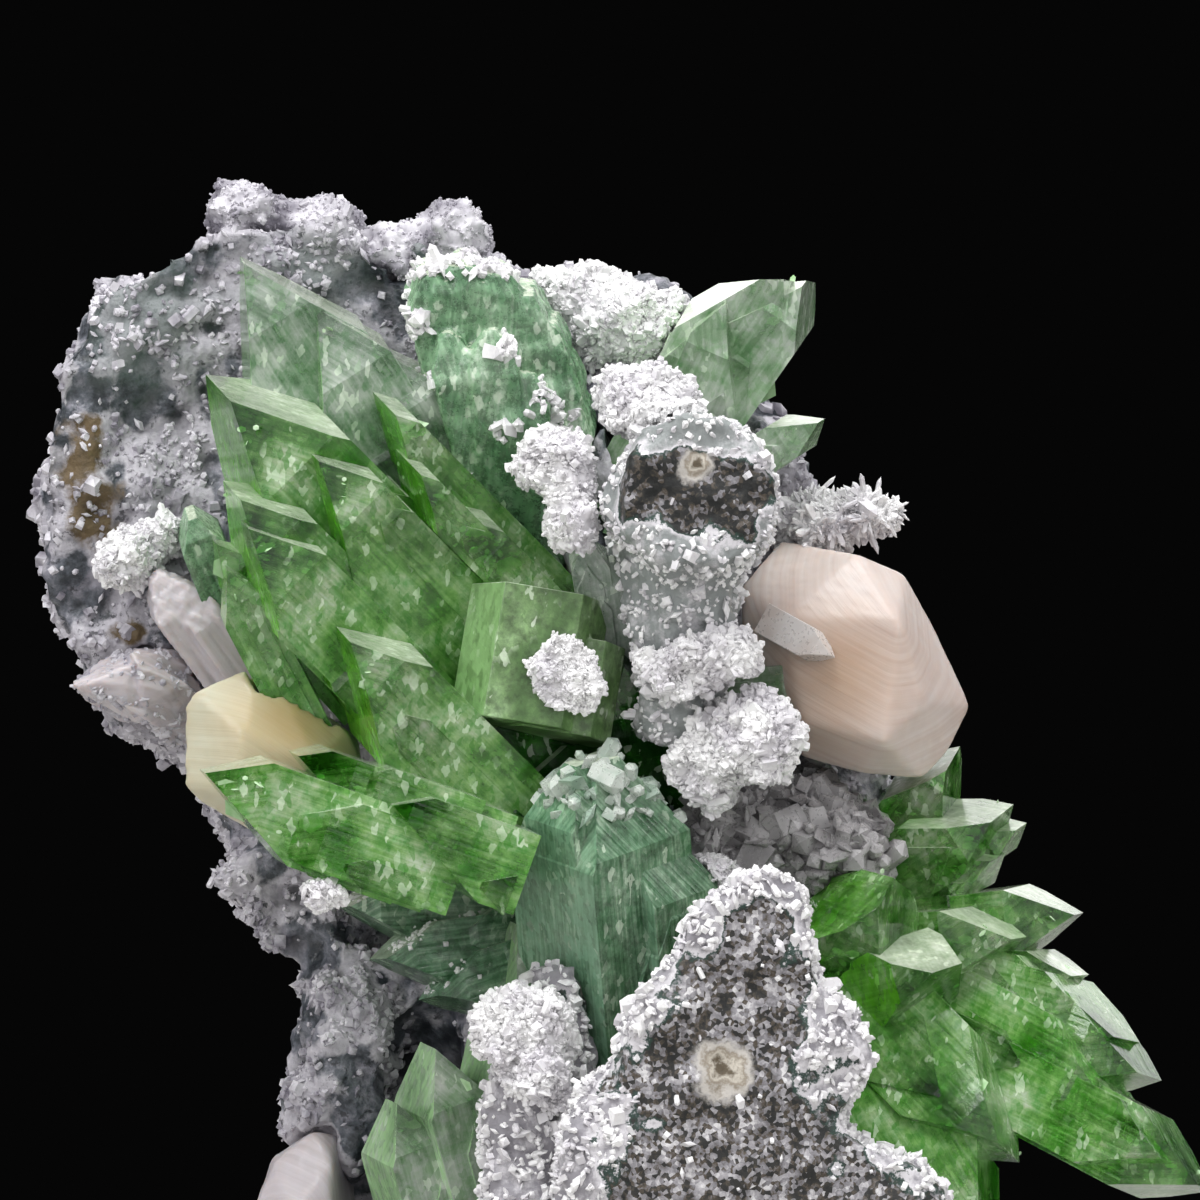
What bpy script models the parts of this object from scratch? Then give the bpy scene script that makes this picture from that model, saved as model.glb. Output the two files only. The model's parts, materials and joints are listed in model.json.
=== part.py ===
"""Apophyllite cluster: green apophyllite and cream stilbite, grown on a druzy basalt rock.

Lengths here are in millimetres and angles in degrees; finish() turns them into metres.
X runs right, Y away from the viewer and Z up. The origin is the middle of the flat cut that
the rock rests on. Each builder takes a grow distance: 0 gives the piece itself, and GAP gives
the slightly larger body that is cut out of every piece that gives way to it.
"""
import math

import bmesh
import bpy
from mathutils import Matrix, Vector, noise

METRES_PER_MM = 0.001
GAP = 0.3
WELD = 1e-3
FLAT = math.radians(0.1)
PYRAMID_SLOPE = 60.4
UP = Vector((0.0, 0.0, 1.0))
AWAY = Vector((0.0, 1.0, 0.0))


def clear_scene():
    for item in list(bpy.data.objects):
        bpy.data.objects.remove(item, do_unlink=True)


# Mesh tools


def slice_off(bm, point, normal):
    """Removes what lies beyond a plane and closes the cut with one face."""
    everything = bm.verts[:] + bm.edges[:] + bm.faces[:]
    bmesh.ops.bisect_plane(
        bm, geom=everything, dist=1e-5, plane_co=point, plane_no=normal, clear_outer=True
    )
    rim = [edge for edge in bm.edges if edge.is_boundary]
    if rim:
        bmesh.ops.holes_fill(bm, edges=rim, sides=0)


def mesh_from(bm):
    bmesh.ops.recalc_face_normals(bm, faces=bm.faces)
    mesh = bpy.data.meshes.new("shape")
    bm.to_mesh(mesh)
    bm.free()
    return mesh


def shaped(mesh, modifiers):
    """The mesh as a stack of modifiers leaves it; each entry is a type and its settings."""
    holder = bpy.data.objects.new("holder", mesh)
    bpy.context.scene.collection.objects.link(holder)
    for kind, settings in modifiers:
        modifier = holder.modifiers.new(kind, kind)
        for setting, value in settings.items():
            setattr(modifier, setting, value)
    graph = bpy.context.evaluated_depsgraph_get()
    result = bpy.data.meshes.new_from_object(holder.evaluated_get(graph))
    bpy.data.objects.remove(holder)
    return result


def combined(mesh, other, operation, solver="EXACT"):
    """Boolean of two closed meshes."""
    tool = bpy.data.objects.new("tool", other)
    bpy.context.scene.collection.objects.link(tool)
    tool.hide_render = True
    tool.display_type = "WIRE"
    settings = {"operation": operation, "solver": solver, "object": tool}
    result = shaped(mesh, [("BOOLEAN", settings)])
    bpy.data.objects.remove(tool)
    return result


def joined(meshes):
    result = meshes[0]
    for mesh in meshes[1:]:
        result = combined(result, mesh, "UNION")
    return result


def largest_body(mesh):
    """Keeps the largest connected body, since a cut may leave loose crumbs."""
    bm = bmesh.new()
    bm.from_mesh(mesh)
    bmesh.ops.remove_doubles(bm, verts=bm.verts, dist=WELD)
    bmesh.ops.dissolve_degenerate(bm, edges=bm.edges, dist=WELD)
    bmesh.ops.dissolve_limit(bm, angle_limit=FLAT, verts=bm.verts, edges=bm.edges)
    waiting = set(bm.faces)
    best = set()
    while waiting:
        body = set()
        front = [waiting.pop()]
        while front:
            face = front.pop()
            body.add(face)
            beside = {other for edge in face.edges for other in edge.link_faces} & waiting
            waiting -= beside
            front.extend(beside)
        if len(body) > len(best):
            best = body
    crumbs = [face for face in bm.faces if face not in best]
    bmesh.ops.delete(bm, geom=crumbs, context="FACES")
    return mesh_from(bm)


def box_of(mesh):
    corners = [vert.co for vert in mesh.vertices]
    low = Vector([min(co[axis] for co in corners) for axis in range(3)])
    high = Vector([max(co[axis] for co in corners) for axis in range(3)])
    return low, high


def boxes_meet(one, other):
    return all(one[0][axis] < other[1][axis] and other[0][axis] < one[1][axis] for axis in range(3))


# Crystals


# A corner has to move out further than the faces beside it for those to keep the gap.
CORNER_SPREAD = 1.8


def frame_of(axis, roll):
    """Turns local X, Y and Z to across, away from the viewer and along a crystal's axis."""
    along = Vector(axis).normalized()
    away = (AWAY - AWAY.dot(along) * along).normalized()
    across = away.cross(along)
    turn = Matrix((across, away, along)).transposed()
    return turn @ Matrix.Rotation(math.radians(roll), 3, "Z")


def crystal(tip, axis, length, right, left, front, back, ridge=0.0, roll=0.0, blunt=0.0, grow=0.0):
    """A four-sided prism with a four-sided roof whose top is at the tip.

    right, left, front and back are the distances of the prism's sides from the tip's axis. The
    roof's top is a point, or a ridge of that length from front to back, and blunt cuts it off flat.
    """
    bm = bmesh.new()
    bmesh.ops.create_cube(bm, size=1.0)
    size = Vector((right + left + 2 * grow, front + back + 2 * grow, length + 2 * grow))
    middle = Vector(((right - left) / 2, (back - front) / 2, -length / 2))
    bmesh.ops.scale(bm, vec=size, verts=bm.verts)
    bmesh.ops.translate(bm, vec=middle, verts=bm.verts)
    lean = math.radians(PYRAMID_SLOPE)
    for across, away, inset in ((1, 0, 0), (-1, 0, 0), (0, 1, ridge / 2), (0, -1, ridge / 2)):
        normal = Vector((across * math.sin(lean), away * math.sin(lean), math.cos(lean)))
        slice_off(bm, Vector((0, away * inset, 0)) + normal * grow, normal)
    if blunt:
        slice_off(bm, UP * (grow - blunt), UP)
    place = Matrix.Translation(tip) @ frame_of(axis, roll).to_4x4()
    bmesh.ops.transform(bm, matrix=place, verts=bm.verts)
    return mesh_from(bm)


def spray(crystals, grow):
    """Crystals that grew into each other, as one solid."""
    return joined([crystal(grow=grow, **sizes) for sizes in crystals])


def aimed(tip, root, **sizes):
    """A crystal given by its tip and the point that it grows from."""
    run = Vector(tip) - Vector(root)
    return dict(tip=tip, axis=run, length=run.length, **sizes)


def faceted(points, grow):
    """A blocky crystal whose corners are given, as their convex hull."""
    bm = bmesh.new()
    middle = sum((Vector(point) for point in points), Vector()) / len(points)
    for point in points:
        spread = Vector(point) - middle
        bm.verts.new(middle + spread * (1 + CORNER_SPREAD * grow / spread.length))
    bmesh.ops.convex_hull(bm, input=bm.verts)
    bmesh.ops.delete(bm, geom=[vert for vert in bm.verts if not vert.link_faces], context="VERTS")
    bmesh.ops.dissolve_limit(bm, angle_limit=FLAT, verts=bm.verts, edges=bm.edges)
    return mesh_from(bm)


# Rock and crusts


# Fine bumps over the coarse ones: how much smaller they are, and how high beside them.
FINE_BUMPS = 2.3
FINE_HEIGHT = 0.5
# Coarse facets lie a little inside the points that they join, so a grown rock is grown more.
ROCK_SPREAD = 1.3
CRUST_VOXEL = 1.0
CRUST_GRAIN = 2.6


def ball(centre, radii):
    bm = bmesh.new()
    bmesh.ops.create_icosphere(bm, subdivisions=2, radius=1.0)
    bmesh.ops.scale(bm, vec=radii, verts=bm.verts)
    bmesh.ops.translate(bm, vec=centre, verts=bm.verts)
    return bm


def rod(start, end, start_radius, end_radius):
    """A round tapered stem from one point to another."""
    bm = bmesh.new()
    run = Vector(end) - Vector(start)
    bmesh.ops.create_cone(
        bm, cap_ends=True, segments=12, radius1=start_radius, radius2=end_radius, depth=run.length
    )
    turn = run.to_track_quat("Z", "Y").to_matrix().to_4x4()
    place = Matrix.Translation((Vector(start) + Vector(end)) / 2) @ turn
    bmesh.ops.transform(bm, matrix=place, verts=bm.verts)
    return bm


def slab(outline, front, back):
    """An outline in X and Z, given anticlockwise, made into a plate between two Y values."""
    bm = bmesh.new()
    face = bm.faces.new([bm.verts.new((x, front, z)) for x, z in outline])
    grown = bmesh.ops.extrude_face_region(bm, geom=[face])
    lifted = [item for item in grown["geom"] if isinstance(item, bmesh.types.BMVert)]
    bmesh.ops.translate(bm, vec=(0, back - front, 0), verts=lifted)
    return bm


def rough_body(shapes, voxel, rough, grain, faces, seed, grow):
    """Shapes melted into one uneven body: rough is the relief, grain the size of its bumps."""
    bm = bmesh.new()
    for shape in shapes:
        bmesh.ops.recalc_face_normals(shape, faces=shape.faces)
        part = bpy.data.meshes.new("lump")
        shape.to_mesh(part)
        bm.from_mesh(part)
        shape.free()
    mesh = bpy.data.meshes.new("lumps")
    bm.to_mesh(mesh)
    bm.free()
    mesh = shaped(mesh, [("REMESH", {"mode": "VOXEL", "voxel_size": voxel})])
    shift = Vector((17.3, 5.1, 9.7)) * seed
    moves = []
    for vert in mesh.vertices:
        place = (vert.co + shift) / grain
        bump = noise.noise(place) + FINE_HEIGHT * noise.noise(place * FINE_BUMPS)
        moves.append(vert.normal * rough * bump)
    for vert, move in zip(mesh.vertices, moves):
        vert.co += move
    ratio = min(1.0, faces / (2 * len(mesh.polygons)))
    mesh = shaped(mesh, [("DECIMATE", {"ratio": ratio})])
    if grow:
        normals = [vert.normal.copy() for vert in mesh.vertices]
        for vert, normal in zip(mesh.vertices, normals):
            vert.co += normal * grow * ROCK_SPREAD
    return mesh


def crust(balls, grow, faces, seed, rough=0.9):
    """A small mass of fine crystals, as a rough lump up to their tips."""
    shapes = [ball(*item) for item in balls]
    return rough_body(shapes, CRUST_VOXEL, rough, CRUST_GRAIN, faces, seed, grow)


# Apophyllite


LEFT_FAN_AXIS = (-0.64, -0.42, 0.645)


def left_fan(grow):
    """The big stepped crystal at the left: parallel blocks, each a terrace in front of the last."""
    names = ("tip", "length", "right", "left", "front", "back", "ridge")

    def block(*sizes):
        return dict(zip(names, sizes), axis=LEFT_FAN_AXIS)

    blocks = [
        block((-37.8, -11.0, 97.0), 54, 5.7, 11.5, 9.5, 8.0, 9.5),
        block((-28.6, -15.5, 90.6), 42, 3.0, 6.0, 6.5, 6.0, 6.5),
        block((-36.2, -17.0, 86.8), 42, 3.7, 7.0, 6.0, 7.0, 6.5),
        block((-34.8, -20.0, 83.4), 38, 3.6, 5.0, 5.0, 5.0, 3.0),
        block((-25.4, -21.0, 72.9), 26, 4.0, 6.5, 6.0, 7.0, 7.0),
        block((-22.2, -8.0, 96.3), 40, 1.2, 3.5, 8.0, 7.0, 14.0),
        block((-18.9, -15.0, 89.6), 32, 0.9, 3.0, 6.0, 6.0, 9.0),
        block((-14.0, -12.5, 85.0), 24, 1.6, 4.0, 6.0, 6.0, 8.0),
    ]
    edge = dict(right=2.1, left=2.7, front=3, back=3, ridge=2.5)
    blocks.append(aimed((-38.2, -10.0, 81.8), (-24, -3, 66), **edge))
    blocks.append(aimed((-36.9, -14.0, 79.2), (-27, -8, 60), **edge))
    return spray(blocks, grow)


def upper_left_blade(grow):
    """The whitish green crystal that stands behind the fan."""
    axis = (-0.52, -0.22, 0.83)
    sizes = dict(axis=axis, front=6.0, back=5.0)
    return spray(
        [
            dict(tip=(-35.8, -1.0, 110.0), length=44, right=6.8, left=7.0, ridge=5, **sizes),
            dict(tip=(-28.5, -3.0, 105.5), length=38, right=4.0, left=5.0, ridge=4, **sizes),
            dict(tip=(-21.5, -2.0, 101.0), length=32, right=3.6, left=5.0, ridge=6, **sizes),
        ],
        grow,
    )


def frosted_dome(grow):
    """Upright blades that stand side by side and end along a round arc."""
    tips = (
        (-17.5, 110.8), (-14.0, 111.6), (-10.6, 110.8), (-7.4, 108.8),
        (-5.0, 105.6), (-3.2, 101.6), (-2.0, 97.2),
    )
    tall = dict(right=2.4, left=2.6, front=4.5, back=4.5, ridge=5, blunt=1.6)
    short = dict(right=2.4, left=2.4, front=3, back=3, blunt=1.2)
    blades = []
    for order, (x, z) in enumerate(tips):
        root = (-10.5 + 0.6 * order, 7.0, 76.0)
        depth = -5.0 + 0.5 * order
        blades.append(aimed((x, depth, z), root, **tall))
    for x, depth, z in ((-15.5, -8.5, 103.5), (-11.0, -9.5, 104.0), (-7.0, -8.5, 99.5)):
        blades.append(aimed((x, depth, z), (-8.5, 3.0, 76.0), **short))
    return spray(blades, grow)


def front_left(grow):
    """The crystal at the lower left, lying almost level with its point to the left."""
    sizes = dict(axis=(-0.93, -0.16, 0.33), back=6)
    return spray(
        [
            dict(tip=(-38.8, -25.0, 59.3), length=24, right=3.2, left=5.8, front=6, ridge=5, **sizes),
            dict(tip=(-30.0, -22.0, 61.0), length=22, right=1.6, left=6.5, front=7, ridge=8, **sizes),
            dict(tip=(-33.5, -26.5, 54.6), length=20, right=5.0, left=2.6, front=5, ridge=3, **sizes),
            dict(tip=(-21.0, -24.0, 56.4), length=14.6, right=2.0, left=6.2, front=7, ridge=12, **sizes),
        ],
        grow,
    )


def deep_centre(grow):
    """The dark green crystals at the middle, between the fan, the block and the teal blade."""
    return spray(
        [
            aimed((-16.0, -13.0, 61.0), (8.0, 2.0, 62.0), right=6, left=6, front=5, back=6, ridge=6),
            aimed((-12.0, -14.0, 55.5), (8.0, 0.0, 58.0), right=5, left=5, front=4, back=6, ridge=6),
            aimed((2.0, -13.0, 71.0), (6.0, 4.0, 52.0), right=6, left=6, front=5, back=5, ridge=5),
            aimed((9.0, -9.0, 69.0), (5.0, 4.0, 50.0), right=4, left=6, front=5, back=5, ridge=4),
        ],
        grow,
    )


def block_crystal(grow):
    """The frosted square crystal that points at the viewer, stepped at its end."""
    axis = (0.02, -0.94, 0.12)
    sizes = dict(axis=axis, length=22, ridge=30)
    return spray(
        [
            dict(tip=(-6.4, -27.0, 71.2), front=6.4, back=7.0, right=6.6, left=7.2, blunt=6.8, **sizes),
            dict(tip=(-3.4, -24.6, 68.6), front=4.8, back=4.8, right=5.4, left=8.0, blunt=6.0, **sizes),
        ],
        grow,
    )


def small_clear(grow):
    """The short striated crystal between the block and the centre stem."""
    return spray(
        [
            aimed((-1.5, -18.0, 82.6), (0.5, -10.0, 70.0), right=1.9, left=1.9, front=2, back=2, blunt=1.2),
            aimed((0.6, -17.0, 81.0), (2.0, -10.0, 70.0), right=1.6, left=1.8, front=2, back=2, blunt=1.2),
        ],
        grow,
    )


UPPER_RIGHT_TOP = 107.8


def upper_right(grow):
    """The clear crystal that stands out to the upper right, its level top a cleavage break."""
    mesh = spray(
        [
            aimed((20.8, -3.0, 108.2), (4.0, 7.0, 84.0), right=3.2, left=5.6, front=6, back=6, ridge=8),
            aimed((19.0, -4.0, 110.6), (4.0, 7.0, 84.0), right=3.4, left=6.4, front=5, back=6, ridge=9),
            aimed((13.0, -4.0, 106.6), (3.0, 6.0, 84.0), right=5.4, left=2.0, front=6, back=5, ridge=7),
            aimed((9.0, -2.0, 103.0), (2.0, 6.0, 86.0), right=3.0, left=1.8, front=4, back=5, ridge=6),
        ],
        grow,
    )
    bm = bmesh.new()
    bm.from_mesh(mesh)
    slice_off(bm, UP * (UPPER_RIGHT_TOP + grow), UP)
    return mesh_from(bm)


def upper_right_small(grow):
    """The little pointed crystal below it."""
    sizes = dict(right=1.8, left=2.4, front=3, back=3, ridge=2)
    return spray([aimed((22.0, -7.0, 93.8), (8.0, 1.0, 85.0), **sizes)], grow)


def centre_chip(grow):
    """A small green crystal that shows between the druse and the right stilbite."""
    sizes = dict(right=2, left=2, front=3, back=3, ridge=2)
    return spray([aimed((22.6, -11.0, 68.0), (12.0, -4.0, 67.0), **sizes)], grow)


def teal_blade(grow):
    """The long frosted crystal in the middle of the lower half, with a broken stepped top."""
    lie = dict(axis=(-0.08, -0.33, 0.93), roll=38)
    main = dict(length=46, right=6, left=6.6, front=6, back=7, blunt=2.6)
    beside = dict(length=36, right=2.6, left=4, front=3.6, back=5, blunt=1.6)
    lower = dict(length=36, right=4.6, left=3.6, front=5, back=5, blunt=1.2)
    return spray(
        [
            dict(tip=(-0.4, -20.0, 63.0), **main, **lie),
            dict(tip=(-2.4, -21.0, 61.6), **beside, **lie),
            dict(tip=(4.2, -18.0, 56.0), **lower, **lie),
        ],
        grow,
    )


def dark_spray(grow):
    """Dark teal striated crystals that fan to the left below the front left crystal."""
    roots = ((-2.0, 2.0, 46.0), (-2.0, 0.0, 43.0), (-3.0, -2.0, 41.0))
    tips = ((-25.5, -6.0, 45.6), (-22.0, -8.0, 40.4), (-17.0, -9.0, 36.6))
    return spray(
        [aimed(tip, root, right=3.0, left=3.4, front=4, back=4, ridge=5) for tip, root in zip(tips, roots)],
        grow,
    )


def lower_left(grow):
    """The leaning crystal at the bottom left, seen behind the druzy column."""
    lie = dict(axis=(-0.25, -0.25, 0.93), roll=20, back=5)
    return spray(
        [
            dict(tip=(-8.5, -9.0, 44.0), length=40, right=3.4, left=8.0, front=6, ridge=2, **lie),
            dict(tip=(-17.0, -12.0, 32.0), length=28, right=5.0, left=3.4, front=5, ridge=4, **lie),
            dict(tip=(-20.6, -12.0, 26.5), length=20, right=4.0, left=3.0, front=4, ridge=3, **lie),
        ],
        grow,
    )


RIGHT_ROOT = (25.0, 3.0, 40.0)


def right_spray_top(grow):
    """The three pale crystals that point up and to the right."""
    return spray(
        [
            aimed((35.2, -3.0, 60.2), (27.0, 5.0, 48.0), right=3.4, left=3.6, front=4, back=4, ridge=6),
            aimed((40.0, -6.0, 54.8), (27.0, 3.0, 46.0), right=2.8, left=4.6, front=5, back=5, ridge=6),
            aimed((42.0, -3.0, 53.4), (29.0, 5.0, 46.0), right=1.8, left=2.6, front=3, back=3, ridge=3),
            aimed((39.6, -5.0, 50.4), (28.0, 4.0, 45.0), right=2.4, left=2.4, front=4, back=4, ridge=3),
        ],
        grow,
    )


def right_spray_middle(grow):
    """The level crystals with clear ends."""
    return spray(
        [
            aimed((47.6, -6.0, 44.8), (26.0, 2.0, 42.0), right=3.2, left=3.4, front=5, back=4, ridge=3),
            aimed((41.4, -12.0, 42.6), (24.0, -1.0, 41.0), right=3.0, left=3.4, front=5, back=4, ridge=3),
            aimed((47.6, -9.0, 38.8), (26.0, 0.0, 39.0), right=2.6, left=2.4, front=4, back=4, ridge=5),
        ],
        grow,
    )


def right_spray_low(grow):
    """The long crystals that run down to the right, with rounded stepped ends."""
    return spray(
        [
            aimed((48.8, -12.0, 35.4), RIGHT_ROOT, right=3.6, left=4.0, front=5, back=5, ridge=5),
            aimed((52.0, -13.0, 32.6), RIGHT_ROOT, right=3.4, left=4.4, front=6, back=5, ridge=6),
            aimed((54.2, -14.0, 29.0), RIGHT_ROOT, right=2.6, left=5.0, front=6, back=5, ridge=6),
            aimed((51.0, -18.0, 26.0), RIGHT_ROOT, right=4.0, left=5.0, front=5, back=5, ridge=6),
            aimed((59.4, -17.0, 18.2), (23.0, 0.0, 37.0), right=4.0, left=4.4, front=6, back=5, ridge=5),
            aimed((56.0, -20.0, 20.8), (22.0, -3.0, 38.0), right=4.2, left=3.4, front=5, back=5, ridge=7),
        ],
        grow,
    )


def right_spray_front(grow):
    """The broad crystals of the right spray nearest the viewer, that run down behind the pillar."""
    return spray(
        [
            aimed((40.0, -23.0, 22.0), (20.0, -6.0, 42.0), right=5.0, left=6.0, front=5, back=6, ridge=6),
            aimed((38.0, -24.0, 12.0), (20.0, -8.0, 40.0), right=5.0, left=5.4, front=5, back=6, ridge=6),
            aimed((28.0, -21.0, 47.4), (22.0, -4.0, 36.0), right=5.0, left=5.0, front=4, back=5, ridge=4),
            aimed((34.0, -22.0, 40.0), (20.0, -4.0, 36.0), right=4.0, left=4.0, front=4, back=5, ridge=4),
        ],
        grow,
    )


# Stilbite


def right_stilbite(grow):
    """The barrel shaped stilbite at the right, narrow at its root and broad at its end."""
    end = (
        (25.5, -10.0, 80.6), (30.2, -8.0, 78.6), (33.0, -6.0, 73.6), (36.0, -6.0, 67.2),
        (36.8, -7.0, 65.4), (34.6, -8.0, 61.0), (32.0, -9.0, 58.2), (26.0, -11.0, 58.8),
        (29.5, -15.0, 74.0), (32.0, -14.0, 66.0), (28.0, -15.5, 62.0), (33.0, 3.0, 72.0),
        (34.0, 3.0, 65.0), (30.0, 5.0, 60.5), (28.0, 4.0, 78.0),
    )
    root = (
        (14.0, -6.0, 77.4), (14.0, -8.0, 73.4), (18.0, -3.0, 82.0), (20.0, -9.0, 60.4),
        (16.0, 3.0, 76.0), (18.0, 4.0, 62.0), (18.0, -12.0, 74.0), (20.0, -13.0, 64.0),
    )
    return faceted(end + root, grow)


def left_stilbite(grow):
    """The blocky cream stilbite at the left, between the fan and the front left crystal."""
    return faceted(
        (
            (-41.0, -12.0, 65.6), (-40.0, -12.5, 67.0), (-33.6, -13.0, 69.8), (-32.0, -13.0, 68.8),
            (-25.0, -12.0, 63.0), (-23.6, -11.0, 60.0), (-41.0, -13.0, 57.6), (-39.4, -13.0, 56.0),
            (-34.0, -15.0, 53.0), (-26.0, -14.0, 53.4), (-39.0, -4.0, 65.6), (-33.0, -3.0, 68.0),
            (-24.0, -2.0, 62.0), (-38.6, -4.0, 57.0), (-32.0, -3.0, 53.4), (-24.0, -3.0, 55.0),
            (-35.0, -16.0, 63.0), (-36.0, -16.0, 57.0), (-28.0, -15.5, 60.0),
        ),
        grow,
    )


def pale_column(grow):
    """The pale rod shaped crystal against the rock at the far left."""
    return spray(
        [
            aimed((-45.4, 1.0, 79.6), (-35.5, 6.0, 66.0), right=2.2, left=2.6, front=3, back=4, blunt=1.2),
            aimed((-42.4, 0.5, 78.4), (-34.0, 5.0, 66.0), right=1.8, left=2.0, front=3, back=4, blunt=0.8),
        ],
        grow,
    )


def grey_point(grow):
    """The grey tan pointed crystal at the left edge of the rock."""
    return spray(
        [
            aimed((-52.4, 2.0, 67.4), (-41.0, 8.0, 67.4), right=3.4, left=3.6, front=4, back=4, ridge=4),
            aimed((-46.6, 0.0, 70.2), (-42.0, 8.0, 64.0), right=2.6, left=2.8, front=3, back=4, ridge=2),
        ],
        grow,
    )


def dull_crystal(grow):
    """The small dull green crystal behind the left edge of the fan."""
    sizes = dict(right=2.2, left=2.2, front=3, back=4, ridge=3, blunt=0.8)
    return spray([aimed((-41.2, -1.0, 85.4), (-36.0, 5.0, 72.0), **sizes)], grow)


def low_stilbite(grow):
    """The smooth beige crystal at the bottom left."""
    return faceted(
        (
            (-34.6, -3.0, 15.0), (-32.4, -4.0, 20.0), (-28.6, -4.5, 23.2), (-26.4, -3.0, 22.6),
            (-35.0, -4.0, 8.0), (-27.0, -8.0, 8.0), (-26.5, -7.0, 20.0), (-33.0, 5.0, 20.0),
            (-34.6, 5.0, 8.0), (-25.0, 5.0, 22.0), (-24.0, 4.0, 8.0), (-30.5, -8.0, 14.0),
        ),
        grow,
    )


def clear_on_stilbite(grow):
    """The small clear crystal that lies on the right stilbite."""
    sizes = dict(right=1.6, left=1.6, front=1.4, back=1.4, ridge=1)
    return spray([aimed((23.0, -15.2, 70.4), (16.5, -11.2, 74.0), **sizes)], grow)


# Chalcedony stalactites and quartz


def centre_stalactite(grow):
    """The stalactite in the middle, whose broken end faces the viewer, on a short stem."""
    shapes = [
        rod((9.4, -17.0, 85.6), (9.6, -28.0, 86.4), 8.6, 8.0),
        rod((7.6, -14.0, 62.0), (8.6, -19.0, 82.0), 4.6, 6.4),
        rod((6.0, 6.0, 80.0), (9.0, -18.0, 85.0), 6.0, 7.0),
        ball((5.4, -23.0, 86.0), (5.6, 4.0, 6.0)),
    ]
    return rough_body(shapes, voxel=1.1, rough=0.9, grain=4.0, faces=230, seed=3, grow=grow)


def front_pillar(grow):
    """The triangular pillar nearest the viewer, with a broken face in front."""
    outline = (
        (14.4, 50.4), (12.4, 48.6), (9.0, 45.6), (8.4, 43.4), (5.6, 39.8), (2.8, 36.8), (1.8, 30.0),
        (-1.8, 25.4), (-4.0, 21.0), (-5.6, 8.0), (34.4, 8.0), (33.0, 19.6), (28.6, 22.4), (22.4, 25.4),
        (27.4, 30.6), (24.0, 36.6), (21.0, 38.6), (20.2, 44.6), (19.6, 48.0), (16.0, 50.6),
    )
    shapes = [
        slab(outline, -37.0, -27.0),
        ball((16.0, -27.0, 14.0), (16.0, 9.0, 12.0)),
        ball((0.5, -33.0, 22.0), (4.6, 5.0, 9.0)),
    ]
    return rough_body(shapes, voxel=1.5, rough=1.3, grain=5.0, faces=330, seed=5, grow=grow)


def druzy_column(grow):
    """The upright column at the lower left, with a crystal covered top."""
    shapes = [
        rod((-7.0, -22.0, 6.0), (-7.4, -23.0, 31.0), 5.6, 4.2),
        rod((-3.6, -15.0, 6.0), (-3.4, -17.0, 40.5), 4.6, 3.4),
    ]
    return rough_body(shapes, voxel=1.1, rough=0.9, grain=4.0, faces=164, seed=7, grow=grow)


def grey_quartz(grow):
    """The grey sugary quartz right of the centre, with blocky ends."""
    shapes = [
        ball((18.0, -4.0, 52.0), (9.5, 8.0, 8.0)),
        ball((24.0, -8.0, 51.0), (5.6, 6.0, 6.0)),
        ball((12.5, -9.0, 53.0), (5.6, 5.0, 5.0)),
    ]
    return rough_body(shapes, voxel=1.3, rough=1.8, grain=3.6, faces=160, seed=9, grow=grow)


# Crusts of fine white crystals


def crest_crust(grow):
    balls = [((-36.0, 14.0, 115.0), (4.6, 6.0, 4.0)), ((-29.0, 15.0, 113.6), (6.0, 6.0, 3.6))]
    return crust(balls, grow, faces=96, seed=11)


def crest_knob(grow):
    balls = [((-14.4, 12.0, 112.6), (4.0, 6.0, 4.4)), ((-20.5, 13.0, 111.0), (5.0, 5.0, 3.6))]
    return crust(balls, grow, faces=90, seed=12)


def upper_right_crust(grow):
    balls = [
        ((1.6, 7.0, 104.0), (6.4, 6.0, 5.4)),
        ((-2.6, 8.0, 107.0), (4.4, 5.0, 3.2)),
        ((7.4, 8.0, 102.0), (3.6, 5.0, 5.0)),
    ]
    return crust(balls, grow, faces=96, seed=13)


def stalactite_cap(grow):
    balls = [((4.4, -17.0, 95.6), (5.6, 5.6, 4.0)), ((6.0, -21.0, 93.6), (5.0, 4.0, 2.6))]
    return crust(balls, grow, faces=90, seed=14)


def stalactite_side_crust(grow):
    balls = [((-4.4, -20.0, 89.4), (4.6, 4.0, 4.0)), ((-2.6, -21.0, 84.0), (3.0, 3.6, 4.4))]
    return crust(balls, grow, faces=90, seed=15)


def centre_crust_high(grow):
    balls = [((10.6, -21.0, 70.6), (6.0, 4.4, 3.0)), ((7.0, -20.0, 69.0), (3.6, 4.0, 4.0))]
    return crust(balls, grow, faces=90, seed=16)


def centre_crust_low(grow):
    balls = [((15.6, -20.0, 62.4), (5.0, 4.6, 5.2)), ((11.0, -18.0, 60.4), (4.4, 4.0, 5.6))]
    return crust(balls, grow, faces=96, seed=17)


def right_crust(grow):
    balls = [((22.0, 0.0, 83.6), (4.6, 4.6, 3.4)), ((26.6, -1.0, 84.4), (3.4, 3.4, 2.6))]
    return crust(balls, grow, faces=90, seed=18)


def left_crust(grow):
    balls = [((-47.0, 4.0, 80.0), (4.0, 4.6, 3.0)), ((-44.6, 5.0, 82.6), (2.6, 4.0, 2.6))]
    return crust(balls, grow, faces=80, seed=19)


def front_tuft(grow):
    return crust([((-27.0, -28.5, 47.4), (2.4, 2.4, 2.0))], grow, faces=44, seed=20, rough=0.5)


def block_crust(grow):
    return crust([((-3.4, -20.6, 68.4), (4.6, 1.8, 4.6))], grow, faces=50, seed=21, rough=0.6)


def column_crust(grow):
    balls = [((-7.6, -25.0, 34.0), (5.4, 4.6, 5.0)), ((-6.0, -26.0, 29.4), (4.0, 3.6, 3.6))]
    return crust(balls, grow, faces=96, seed=22)


def ledge_crust(grow):
    return crust([((10.4, -14.0, 48.8), (4.0, 3.6, 2.2))], grow, faces=60, seed=23, rough=0.6)


# Rock


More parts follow.
